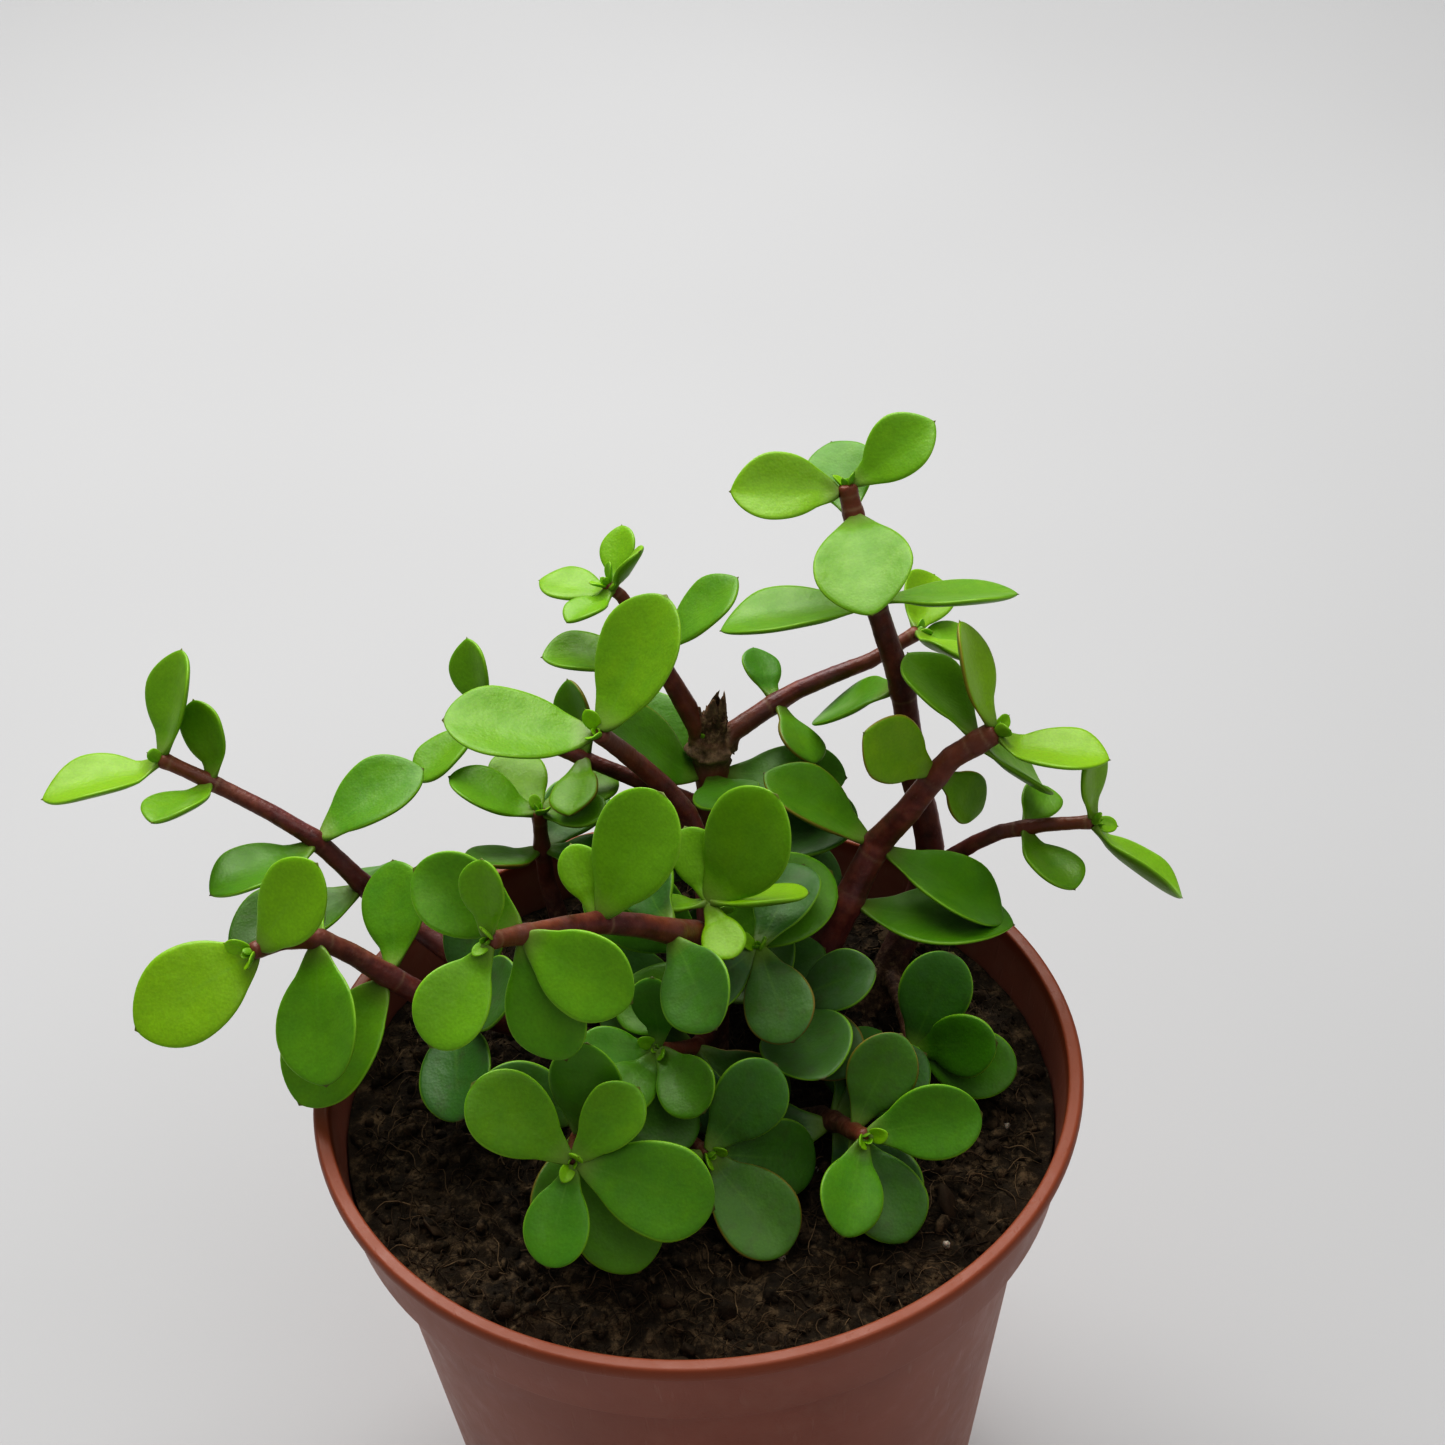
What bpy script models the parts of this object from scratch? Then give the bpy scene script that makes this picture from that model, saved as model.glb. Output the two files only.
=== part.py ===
"""Potted elephant bush: a thin grower's pot, potting mix, rooted cuttings and their leaves.

Metres, +Z up. The origin is the middle of the pot's underside, and the plant leans over
the rim at -X. Each cutting is one grown piece of stem with its branches. Leaves stand round the
nodes of the shoots, and the leaves of a node are one piece with the collar that joins
them round the stem.
"""

import math

import bmesh
import bpy
from mathutils import Matrix, Vector
from mathutils.bvhtree import BVHTree

MM = 0.001
UP = Vector((0, 0, 1))

# Pot
POT_HEIGHT = 93.0 * MM
RIM_RADIUS = 52.5 * MM
COLLAR_HEIGHT = 13.0 * MM
COLLAR_TAPER = 1.9 * MM
LIP_WIDTH = 1.0 * MM
LIP_HEIGHT = 2.2 * MM
STEP_WIDTH = 3.2 * MM
BASE_RADIUS = 36.0 * MM
POT_WALL = 1.1 * MM
FLOOR_THICKNESS = 1.6 * MM
FOOT_HEIGHT = 1.2 * MM
FOOT_WIDTH = 4.0 * MM
BASE_DISC_RADIUS = 9.0 * MM
DRAIN_HOLES = 6
DRAIN_RADIUS = 3.6 * MM
DRAIN_CIRCLE_RADIUS = 21.0 * MM
DRAIN_SIDES = 12
POT_SEGMENTS = 48

# Potting mix
SOIL_DROP = 9.0 * MM
SOIL_MOUND = 2.6 * MM
SOIL_LUMPS = 0.7 * MM
LUMP_SIZES = (5.1 * MM, 6.3 * MM, 3.7 * MM)
SOIL_RINGS = (0, 0.2, 0.4, 0.58, 0.74, 0.88, 1)
SOIL_SEGMENTS = 30
ROOTED_DEPTH = 14.0 * MM

# Fits between pieces
POT_SOIL_GAP = 0.35 * MM
STEM_SOIL_GAP = 0.35 * MM
COLLAR_GAP = 0.35 * MM
LEAF_GAP = 0.35 * MM

# Stems
STEM_STEP = 6.0 * MM
STEM_GIRTH = 1.0

# Leaves
LEAF_SCALE = 1.0
LEAF_WIDTH_SHARE = 0.81
LEAF_THICKNESS = 1.7 * MM
LEAF_CUP_SHARE = 0.085
LEAF_BEND_SHARE = 0.05
LEAF_BASE_WIDTH = 0.55
LEAF_WIDENING = 0.75
SKY_LIGHT = Vector((0, -0.1, 1))
SIDE_LIGHT = Vector((-0.05, -0.6, 0.8))
LIGHT_TWIST = 0.7
FREE_SHARE = 0.3
NODE_RING = 0.6 * MM
CROWDED_TURNS = range(-50, 51, 10)
CROWDED_SPREADS = range(-40, 41, 10)
CROWDED_SIZES = (1.0, 0.92, 0.84, 0.76, 0.68, 0.6)
STUNTED_SIZES = (0.52, 0.44, 0.36, 0.28)
SIZE_COST = 250

# Each cutting stands on the mix at "root", a share of the mix's radius along X and Y.
# A route is in millimetres from that spot, up from the mix. Leaves are listed by node from
# the tip down: the node's share along the shoot, then its leaves. A leaf is its turn about
# the stem, its length in millimetres and its spread: the turn is the compass heading that
# it would have on an upright stem, and the spread is its angle from the stem's direction.
# A fourth number rolls the leaf about its own length, in degrees. Leaves turn their upper
# sides to the sky, or on a shoot with "light" to that side.
CUTTINGS = {
    "cutting_tall": {
        "root": (0.50, 0.30),
        "shoots": {
            "tall": {
                "route": [(7, 8, 10), (11, 14, 20), (9, 18, 30), (8, 21, 42), (4, 23, 58), (1, 28, 73)],
                "girths": (2.5, 1.3),
                "leaves": [
                    (1.00, (180, 13.5, 76, -35), (0, 12.5, 62, 35)),
                    (0.95, (-92, 18, 122), (95, 13, 56)),
                    (0.80, (-175, 19, 84, 8), (-10, 17, 108, -15)),
                    (0.62, (145, 14, 108)),
                ],
            },
            "side": {
                "from": ("tall", 0.28),
                "route": [(20, 7, 28), (32, 3, 32)],
                "girths": (1.3, 0.9),
                "leaves": [
                    (1.00, (150, 10, 82), (-30, 15, 52, -35)),
                    (0.67, (65, 8, 88), (-80, 11, 52)),
                ],
            },
            "low_side": {
                "from": ("tall", 0.10),
                "route": [(5, -5, 7), (5, -14, 8)],
                "girths": (1.4, 0.9),
                "light": SIDE_LIGHT,
                "leaves": [
                    (1.00, (65, 13.5, 105), (-12, 13, 72), (20, 12, 90), (-110, 12, 90)),
                ],
            },
        },
    },
    "cutting_right": {
        "root": (0.27, 0.19),
        "shoots": {
            "right": {
                "route": [(5, 6, 12), (9, 8, 20), (14, 12, 28), (18, 11, 34), (24, 12, 42), (30, 12, 46)],
                "girths": (2.7, 1.5),
                "leaves": [
                    (1.00, (150, 13.5, 75), (-30, 14, 62)),
                    (0.95, (125, 14, 108), (15, 14, 85)),
                    (0.82, (-165, 13, 80, -60), (25, 10, 110, 60)),
                    (0.57, (160, 15.5, 88), (-20, 17.5, 95)),
                    (0.42, (-170, 11.5, 92), (-20, 20, 86)),
                ],
            },
            "inner_right": {
                "from": ("right", 0.12),
                "route": [(0, -5, 14), (-4, -8, 28)],
                "girths": (1.4, 0.9),
                "light": SIDE_LIGHT,
                "leaves": [
                    (1.00, (-80, 13, 104), (60, 12, 95), (-150, 11, 90)),
                    (0.50, (-60, 13, 95), (-75, 17, 90), (-22, 12, 72), (100, 12, 85)),
                ],
            },
        },
    },
    "cutting_back": {
        "root": (0.08, 0.54),
        "shoots": {
            "back": {
                "route": [(0, 3, 10), (1, 8, 20), (1, 13, 33), (2, 14.5, 38)],
                "girths": (2.6, 2.2),
                "light": SIDE_LIGHT,
                "leaves": [
                    (0.76, (140, 16, 57), (-10, 16, 95), (-165, 17, 50), (-80, 13, 92)),
                    (0.54, (-64, 18.5, 82), (30, 15, 90), (150, 14, 90), (-124, 13, 96)),
                    (0.42, (0, 15, 98), (180, 16, 75), (90, 14, 80), (-80, 13, 95)),
                ],
            },
            "back_right": {
                "from": ("back", 0.86),
                "route": [(14, 19, 37), (25, 21, 40), (32, 23, 43)],
                "girths": (1.6, 1.0),
                "leaves": [
                    (1.00, (95, 11, 52), (-75, 10, 72), (20, 10, 40)),
                    (0.34, (125, 8, 76), (-50, 9.5, 92)),
                ],
            },
            "back_left": {
                "from": ("back", 0.86),
                "route": [(-5, 15, 46), (-10, 17, 57), (-12, 17, 59)],
                "girths": (1.8, 0.8),
                "leaves": [
                    (0.97, (150, 10, 58), (-20, 8, 72), (-120, 8, 58), (60, 8, 80)),
                    (0.57, (15, 13.5, 78), (-170, 14, 62)),
                ],
            },
            "rear_left": {
                "from": ("back", 0.62),
                "route": [(-14, 13, 30), (-26, 17, 34), (-32, 19, 36)],
                "girths": (1.4, 0.8),
                "leaves": [
                    (1.00, (20, 10, 58), (-150, 11, 70)),
                    (0.55, (20, 10, 52), (-110, 10, 100)),
                ],
            },
        },
    },
    "cutting_middle": {
        "root": (0.04, 0.12),
        "shoots": {
            "reaching": {
                "route": [(1, 2, 16), (0, -2, 28), (-4, -9, 36), (-13, -14, 43), (-26, -26, 52)],
                "girths": (2.5, 1.1),
                "light": SIDE_LIGHT,
                "leaves": [
                    (1.00, (60, 8.5, 80), (-134, 12.5, 58)),
                    (0.92, (120, 13.5, 58), (-55, 14.5, 110), (-100, 14, 90)),
                    (0.73, (35, 17, 98), (75, 8, 75)),
                    (0.56, (-75, 14, 88), (110, 12, 105)),
                    (0.34, (19, 17, 84), (145, 16, 68), (-130, 13, 85)),
                    (0.18, (0, 14, 75), (180, 15, 70), (90, 13, 70)),
                ],
            },
            "arching": {
                "from": ("reaching", 0.20),
                "route": [(1, 12, 26), (-1, 17, 34), (-7, 16, 44), (-12, 12, 53)],
                "girths": (1.9, 1.2),
                "leaves": [
                    (1.00, (40, 18, 80), (170, 18.5, 58)),
                ],
            },
            "sprout": {
                "from": ("reaching", 0.33),
                "route": [(2, 0, 30), (1, -3, 35)],
                "girths": (1.1, 0.7),
                "light": SIDE_LIGHT,
                "leaves": [
                    (1.00, (117, 9, 68), (-5, 11.5, 98, -60), (175, 9, 80, 50), (-75, 8, 75), (36, 17.5, 54)),
                ],
            },
            "heart": {
                "from": ("reaching", 0.12),
                "route": [(-2, -8, 14), (-7, -14, 20)],
                "girths": (1.4, 0.9),
                "light": SIDE_LIGHT,
                "leaves": [
                    (1.00, (-60, 11, 75), (165, 9.5, 60), (60, 9, 60), (-128, 11, 60)),
                    (0.55, (-90, 10, 85), (-60, 13, 105), (140, 12, 85)),
                ],
            },
        },
    },
    "cutting_upright": {
        "root": (-0.35, 0.62),
        "shoots": {
            "upright": {
                "route": [(-3, 4, 14), (-3, 4, 27)],
                "girths": (1.6, 1.0),
                "leaves": [
                    (0.98, (165, 12, 68), (30, 11, 52), (110, 11, 85), (-20, 9, 50)),
                    (0.74, (-145, 11, 72), (-25, 9, 85), (60, 13, 90)),
                ],
            },
        },
    },
    "cutting_left": {
        "root": (-0.25, 0.12),
        "shoots": {
            "near_left": {
                "route": [(-8, 2, 8), (-16, 1, 14), (-25, 0, 20), (-37, 1, 30), (-45, -5, 34)],
                "girths": (2.4, 1.1),
                "light": SIDE_LIGHT,
                "leaves": [
                    (0.98, (20, 14, 107), (-170, 17.5, 40)),
                    (0.81, (-120, 17.5, 113), (120, 9, 100)),
                    (0.63, (-150, 18, 90), (60, 14, 68)),
                    (0.45, (-99, 15, 95), (-30, 14, 95), (40, 13, 90)),
                ],
            },
            "far_left": {
                "from": ("near_left", 0.2),
                "route": [(-18, 10, 14), (-32, 19, 22), (-39, 21, 31), (-50, 25, 37), (-59, 27, 42)],
                "girths": (1.9, 1.0),
                "leaves": [
                    (1.00, (30, 13.5, 75), (-150, 15.5, 38)),
                    (0.89, (30, 10, 50), (-100, 12, 72)),
                    (0.64, (20, 15.5, 100), (-140, 15, 62)),
                    (0.50, (-155, 18, 70), (100, 9, 110)),
                ],
            },
        },
    },
    "cutting_low_left": {
        "root": (-0.17, -0.08),
        "shoots": {
            "low_left": {
                "route": [(-4, -5, 10), (-7, -16, 18), (-8, -25, 22)],
                "girths": (1.9, 1.0),
                "light": SIDE_LIGHT,
                "leaves": [
                    (1.00, (135, 14, 95), (-22, 16.5, 85), (40, 10.5, 105), (-112, 11.5, 62)),
                    (0.83, (-70, 16, 75), (72, 13, 78)),
                    (0.58, (-108, 15, 70), (5, 12, 100), (150, 13, 80)),
                ],
            },
            "low_front": {
                "from": ("low_left", 0.12),
                "route": [(4, -8, 9), (9, -15, 11)],
                "girths": (1.3, 0.9),
                "light": SIDE_LIGHT,
                "leaves": [
                    (1.00, (-45, 15, 60), (5, 14, 85), (-150, 13, 80), (75, 13, 75)),
                ],
            },
        },
    },
    "cutting_low_right": {
        "root": (0.25, -0.08),
        "shoots": {
            "low_right": {
                "route": [(4, -5, 6), (9, -16, 13)],
                "girths": (1.8, 1.0),
                "light": SIDE_LIGHT,
                "leaves": [
                    (1.00, (22, 13.5, 66), (-110, 12, 62)),
                    (0.83, (75, 12.5, 88), (-65, 14, 92)),
                    (0.55, (-160, 14, 85), (-107, 16, 88), (44, 13, 75), (90, 12, 80)),
                ],
            },
        },
    },
}

MATERIALS = {
    "terracotta_plastic": ((0.36, 0.115, 0.065, 1.0), 0.42),
    "peat": ((0.035, 0.021, 0.014, 1.0), 0.95),
    "stem_bark": ((0.12, 0.032, 0.025, 1.0), 0.5),
    "leaf_green": ((0.10, 0.27, 0.03, 1.0), 0.38),
    "tip_green": ((0.20, 0.42, 0.03, 1.0), 0.36),
}


def soil_level():
    return POT_HEIGHT - SOIL_DROP


def collar_bottom():
    return POT_HEIGHT - COLLAR_HEIGHT


def collar_radius(height):
    """Outside of the pot's collar, which narrows a little downwards."""
    share = (POT_HEIGHT - height) / COLLAR_HEIGHT
    return RIM_RADIUS - LIP_WIDTH - COLLAR_TAPER * share


def body_radius(height):
    """Outside of the pot's body, which narrows evenly down to its base."""
    top = collar_radius(collar_bottom()) - STEP_WIDTH
    return BASE_RADIUS + (top - BASE_RADIUS) * height / collar_bottom()


def floor_top():
    return FOOT_HEIGHT + FLOOR_THICKNESS


def soil_radius():
    return collar_radius(soil_level()) - POT_WALL - POT_SOIL_GAP


def new_material(name):
    colour, roughness = MATERIALS[name]
    material = bpy.data.materials.new(name)
    material.use_nodes = True
    shader = material.node_tree.nodes["Principled BSDF"]
    shader.inputs["Base Color"].default_value = colour
    shader.inputs["Roughness"].default_value = roughness
    shader.inputs["Metallic"].default_value = 0.0
    material.diffuse_color = colour
    return material


def new_collections():
    plant = bpy.data.collections.new("potted_elephant_bush")
    helpers = bpy.data.collections.new("cutters")
    for collection in (plant, helpers):
        bpy.context.scene.collection.children.link(collection)
    return plant, helpers


def add_mesh_object(name, form, collection, material=None):
    """An object of the bmesh's shape, shaded smooth."""
    mesh = bpy.data.meshes.new(name)
    form.to_mesh(mesh)
    form.free()
    piece = bpy.data.objects.new(name, mesh)
    collection.objects.link(piece)
    mesh.shade_smooth()
    if material:
        mesh.materials.append(material)
    return piece


def hide_helper(piece):
    piece.hide_render = True
    piece.display_type = "WIRE"


def add_boolean(piece, other, operation):
    boolean = piece.modifiers.new(other.name, "BOOLEAN")
    boolean.operation = operation
    boolean.object = other
    hide_helper(other)


def add_turned(name, profile, collection, material):
    """The profile, radius and height pairs from axis to axis, turned about Z."""
    form = bmesh.new()
    corners = [form.verts.new((radius, 0, height)) for radius, height in profile]
    for start, end in zip(corners, corners[1:]):
        form.edges.new((start, end))
    piece = add_mesh_object(name, form, collection, material)
    screw = piece.modifiers.new("turn", "SCREW")
    screw.steps = screw.render_steps = POT_SEGMENTS
    screw.use_merge_vertices = True
    screw.merge_threshold = 0.0001
    screw.use_smooth_shade = True
    return piece


def build_pot(plant, helpers):
    bottom = collar_bottom()
    inner_ledge = bottom + POT_WALL
    lip_bottom = POT_HEIGHT - LIP_HEIGHT
    recess_radius = BASE_RADIUS - FOOT_WIDTH
    profile = [
        (0, floor_top()),
        (body_radius(floor_top()) - POT_WALL, floor_top()),
        (body_radius(inner_ledge) - POT_WALL, inner_ledge),
        (collar_radius(inner_ledge) - POT_WALL, inner_ledge),
        (collar_radius(POT_HEIGHT) - POT_WALL, POT_HEIGHT),
        (RIM_RADIUS - 0.3 * LIP_WIDTH, POT_HEIGHT),
        (RIM_RADIUS, POT_HEIGHT - 0.4 * LIP_HEIGHT),
        (RIM_RADIUS - 0.2 * LIP_WIDTH, lip_bottom),
        (collar_radius(lip_bottom), lip_bottom - 0.3 * LIP_WIDTH),
        (collar_radius(bottom), bottom),
        (body_radius(bottom), bottom),
        (BASE_RADIUS, 0),
        (recess_radius, 0),
        (recess_radius, FOOT_HEIGHT),
        (BASE_DISC_RADIUS, FOOT_HEIGHT),
        (BASE_DISC_RADIUS, 0),
        (0, 0),
    ]
    pot = add_turned("pot", profile, plant, new_material("terracotta_plastic"))
    for number in range(DRAIN_HOLES):
        heading = 2 * math.pi * (number + 0.5) / DRAIN_HOLES
        form = bmesh.new()
        bmesh.ops.create_cone(
            form, cap_ends=True, segments=DRAIN_SIDES, radius1=DRAIN_RADIUS, radius2=DRAIN_RADIUS,
            depth=4 * floor_top(),
        )
        place = Vector((math.cos(heading), math.sin(heading), 0)) * DRAIN_CIRCLE_RADIUS
        form.transform(Matrix.Translation(place) @ Matrix.Rotation(math.pi / DRAIN_SIDES, 4, "Z"))
        hole = add_mesh_object(f"drain_hole_{number + 1}", form, helpers)
        add_boolean(pot, hole, "DIFFERENCE")
    return pot


def soil_height(x, y):
    """Top of the potting mix: a low mound with soft lumps."""
    share = math.hypot(x, y) / soil_radius()
    across, deep, slanting = LUMP_SIZES
    lumps = math.sin(x / across) * math.cos(y / deep) + math.sin((x + y) / slanting) / 2
    return soil_level() + SOIL_MOUND * (1 - share * share) + SOIL_LUMPS * lumps * (1 - share ** 4)


def build_soil(plant):
    """The potting mix, which fills the pot up to its level; its top is shaped point by point."""
    ledge = collar_bottom() + POT_WALL + POT_SOIL_GAP
    bottom = floor_top() + POT_SOIL_GAP
    side = POT_WALL + POT_SOIL_GAP
    profile = [(soil_radius() * share, soil_height(soil_radius() * share, 0)) for share in SOIL_RINGS]
    profile += [
        (collar_radius(ledge) - side, ledge),
        (body_radius(ledge) - side, ledge),
        (body_radius(bottom) - side, bottom),
        (0, bottom),
    ]
    turned = add_turned("soil_turned", profile, plant, None)
    turned.modifiers["turn"].steps = turned.modifiers["turn"].render_steps = SOIL_SEGMENTS
    graph = bpy.context.evaluated_depsgraph_get()
    mesh = bpy.data.meshes.new_from_object(turned.evaluated_get(graph))
    bpy.data.objects.remove(turned)
    soil = bpy.data.objects.new("soil", mesh)
    plant.objects.link(soil)
    mesh.materials.append(new_material("peat"))
    for vertex in mesh.vertices:
        if vertex.co.z > soil_level() - POT_SOIL_GAP:
            vertex.co.z = soil_height(vertex.co.x, vertex.co.y)
    return soil


def smooth_route(points):
    """Points about STEM_STEP apart on one smooth curve through the given points."""
    ends = [2 * points[0] - points[1], *points, 2 * points[-1] - points[-2]]
    curve = []
    for before, start, end, after in zip(ends, ends[1:], ends[2:], ends[3:]):
        steps = max(1, round((end - start).length / STEM_STEP))
        for number in range(steps):
            t = number / steps
            curve.append(
                start
                + (end - before) * (t / 2)
                + (2 * before - 5 * start + 4 * end - after) * (t * t / 2)
                + (3 * start - before - 3 * end + after) * (t ** 3 / 2)
            )
    curve.append(points[-1].copy())
    return curve


class Shoot:
    """One stem: its curve, its thickness along the curve, and where a share of it lies."""

    def __init__(self, curve, girths, buried=0.0):
        self.curve = curve
        self.girths = girths
        self.lengths = [0.0]
        for start, end in zip(curve, curve[1:]):
            self.lengths.append(self.lengths[-1] + (end - start).length)
        self.buried = buried
        self.radii = [girth * MM * STEM_GIRTH for girth in girths]

    def radius(self, length):
        share = max(0.0, (length - self.buried) / (self.lengths[-1] - self.buried))
        return self.radii[0] + (self.radii[1] - self.radii[0]) * share

    def at(self, share):
        """Place, direction and radius at a share of the part above the mix."""
        length = self.buried + share * (self.lengths[-1] - self.buried)
        for number in range(len(self.curve) - 1):
            if length <= self.lengths[number + 1] or number == len(self.curve) - 2:
                break
        start, end = self.curve[number], self.curve[number + 1]
        inside = (length - self.lengths[number]) / (self.lengths[number + 1] - self.lengths[number])
        return start.lerp(end, inside), (end - start).normalized(), self.radius(length)


def plan_shoots(cutting):
    """The cutting's shoots by name. The first one is rooted, and the others branch off."""
    root = Vector((*(share * soil_radius() for share in cutting["root"]), soil_level()))
    shoots = {}
    for name, plan in cutting["shoots"].items():
        points = [root + Vector(point) * MM for point in plan["route"]]
        if "from" in plan:
            parent, share = plan["from"]
            curve = smooth_route([shoots[parent].at(share)[0], *points])
            shoots[name] = Shoot(curve, plan["girths"])
        else:
            curve = smooth_route([root - UP * ROOTED_DEPTH, root, *points])
            shoots[name] = Shoot(curve, plan["girths"], ROOTED_DEPTH)
    return shoots


def add_tube(name, shoot, extra, collection, highest=None):
    """A tapered tube along the shoot, or along its part below a height."""
    curve = bpy.data.curves.new(name, "CURVE")
    curve.dimensions = "3D"
    curve.bevel_depth = 1.0
    curve.bevel_resolution = 2
    curve.use_fill_caps = True
    count = len(shoot.curve)
    if highest is not None:
        count = next(number for number, point in enumerate(shoot.curve) if point.z > highest) + 1
    spline = curve.splines.new("POLY")
    spline.points.add(count - 1)
    for point, place, length in zip(spline.points, shoot.curve, shoot.lengths):
        point.co = (*place, 1)
        point.radius = shoot.radius(length) + extra
    guide = bpy.data.objects.new(name, curve)
    collection.objects.link(guide)
    graph = bpy.context.evaluated_depsgraph_get()
    mesh = bpy.data.meshes.new_from_object(guide.evaluated_get(graph))
    bpy.data.objects.remove(guide)
    form = bmesh.new()
    form.from_mesh(mesh)
    bpy.data.meshes.remove(mesh)
    bmesh.ops.remove_doubles(form, verts=form.verts, dist=0.001 * MM)
    return add_mesh_object(name, form, collection)


def build_cutting(name, shoots, soil, plant, helpers, bark):
    """One grown piece of stem with its branches, and its socket in the mix."""
    trunk, *branches = shoots.items()
    stem = add_tube(name, trunk[1], 0, plant)
    stem.data.materials.append(bark)
    for branch_name, shoot in branches:
        add_boolean(stem, add_tube(f"{branch_name}_stem", shoot, 0, helpers), "UNION")
    highest = soil_level() + SOIL_MOUND + 2 * SOIL_LUMPS
    socket_plan = Shoot(list(trunk[1].curve), trunk[1].girths, ROOTED_DEPTH)
    socket_plan.curve[0] = socket_plan.curve[0] - UP * STEM_SOIL_GAP
    socket = add_tube(f"{name}_socket", socket_plan, STEM_SOIL_GAP, helpers, highest)
    add_boolean(soil, socket, "DIFFERENCE")
    return stem


def leaf_form(length, width, thickness):
    """A leaf along +X from its base at the origin, upper side at +Z: widest past its middle,
    with raised margins and a slight curve to its tip."""
    form = bmesh.new()
    bmesh.ops.create_uvsphere(form, u_segments=6, v_segments=5, radius=1)
    for vertex in form.verts:
        across, thick, along = vertex.co
        share = (1 + along) / 2
        lateral = across * (LEAF_BASE_WIDTH + LEAF_WIDENING * share)
        rise = LEAF_CUP_SHARE * lateral * lateral + LEAF_BEND_SHARE * share * share
        vertex.co = (share * length, lateral * width / 2, thick * thickness / 2 + rise * length)
    return form


def leaf_matrix(node, light, turn, spread, rolled=0):
    """Frame of a leaf on a stem's node: X along the leaf, Z out of its upper side, which
    faces along the stem and twists partly to the light, or is rolled further."""
    place, forward, radius = node
    heading = Vector((math.cos(math.radians(turn)), math.sin(math.radians(turn)), 0))
    side = UP.rotation_difference(forward) @ heading
    angle = math.radians(spread)
    along = math.cos(angle) * forward + math.sin(angle) * side
    upper = math.sin(angle) * forward - math.cos(angle) * side
    lit = light - light.dot(along) * along
    twist = math.atan2(upper.cross(lit).dot(along), upper.dot(lit))
    upper = Matrix.Rotation(LIGHT_TWIST * lit.length * twist + math.radians(rolled), 3, along) @ upper
    matrix = Matrix((along, upper.cross(along), upper)).transposed().to_4x4()
    matrix.translation = place + side * (radius + COLLAR_GAP + NODE_RING)
    return matrix


def polygons_of(form):
    form.verts.index_update()
    return [[vertex.index for vertex in face.verts] for face in form.faces]


def free_polygons(form, length):
    """The polygons past the leaf's base, where leaves of one node keep apart too."""
    return [
        [vertex.index for vertex in face.verts]
        for face in form.faces
        if min(vertex.co.x for vertex in face.verts) > FREE_SHARE * length
    ]


class Space:
    """What is already in place, so that a new leaf can grow clear of it."""

    def __init__(self):
        self.taken = []

    def add(self, owner, points, polygons):
        middle = sum(points, Vector()) / len(points)
        reach = max((point - middle).length for point in points)
        self.taken.append((owner, middle, reach, BVHTree.FromPolygons(points, polygons)))

    def add_object(self, owner, piece):
        graph = bpy.context.evaluated_depsgraph_get()
        self.add_mesh(owner, piece.evaluated_get(graph).to_mesh())

    def add_mesh(self, owner, mesh):
        points = [vertex.co.copy() for vertex in mesh.vertices]
        self.add(owner, points, [list(face.vertices) for face in mesh.polygons])

    def is_clear(self, points, polygons, owners, skipped):
        """Whether the shape keeps clear of the owners' pieces, or of all but the skipped ones."""
        middle = sum(points, Vector()) / len(points)
        reach = max((point - middle).length for point in points)
        tree = None
        for owner, other_middle, other_reach, other in self.taken:
            if owner in skipped or (owners and owner not in owners):
                continue
            if (middle - other_middle).length > reach + other_reach:
                continue
            tree = tree or BVHTree.FromPolygons(points, polygons)
            if tree.overlap(other):
                return False
        return True


def growth_choices(sizes):
    """Ways for a leaf to grow at these sizes, the least change from its plan first."""
    choices = []
    for size in sizes:
        for turned in CROWDED_TURNS:
            for opened in CROWDED_SPREADS:
                cost = abs(turned) + abs(opened) + SIZE_COST * (1 - size)
                choices.append((cost, abs(turned), turned, opened, size))
    return sorted(choices)


def grow_leaf(node, light, leaf, owner, stem_name, space, choices):
    """The leaf's form in place, turned or opened until it is clear of its neighbours."""
    turn, length, spread, *rolled = leaf
    for _, _, turned, opened, size in choices:
        matrix = leaf_matrix(node, light, turn + turned, spread + opened, *rolled)
        long = length * size * MM * LEAF_SCALE
        wide = long * LEAF_WIDTH_SHARE
        form = leaf_form(long, wide, LEAF_THICKNESS)
        near = leaf_form(long + LEAF_GAP, wide + 2 * LEAF_GAP, LEAF_THICKNESS + 2 * LEAF_GAP)
        points = [matrix @ vertex.co for vertex in form.verts]
        wider = [matrix @ vertex.co for vertex in near.verts]
        polygons = polygons_of(form)
        free = free_polygons(form, long)
        near.free()
        if (
            space.is_clear(points, polygons, {stem_name}, set())
            and space.is_clear(wider, free, {f"{owner} leaf"}, set())
            and space.is_clear(wider, polygons, None, {owner, f"{owner} leaf", stem_name})
        ):
            break
        form.free()
    else:
        print("no room:", owner)
        form = leaf_form(long, wide, LEAF_THICKNESS)
    form.transform(matrix)
    space.add(f"{owner} leaf", points, polygons)
    return form


def node_plans(shoot_name, plan):
    """Name, share and leaves of each of the shoot's nodes, from the tip down."""
    for number, (share, *leaves) in enumerate(plan["leaves"], 1):
        yield f"{shoot_name}_leaves_{number}", share, leaves


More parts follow.
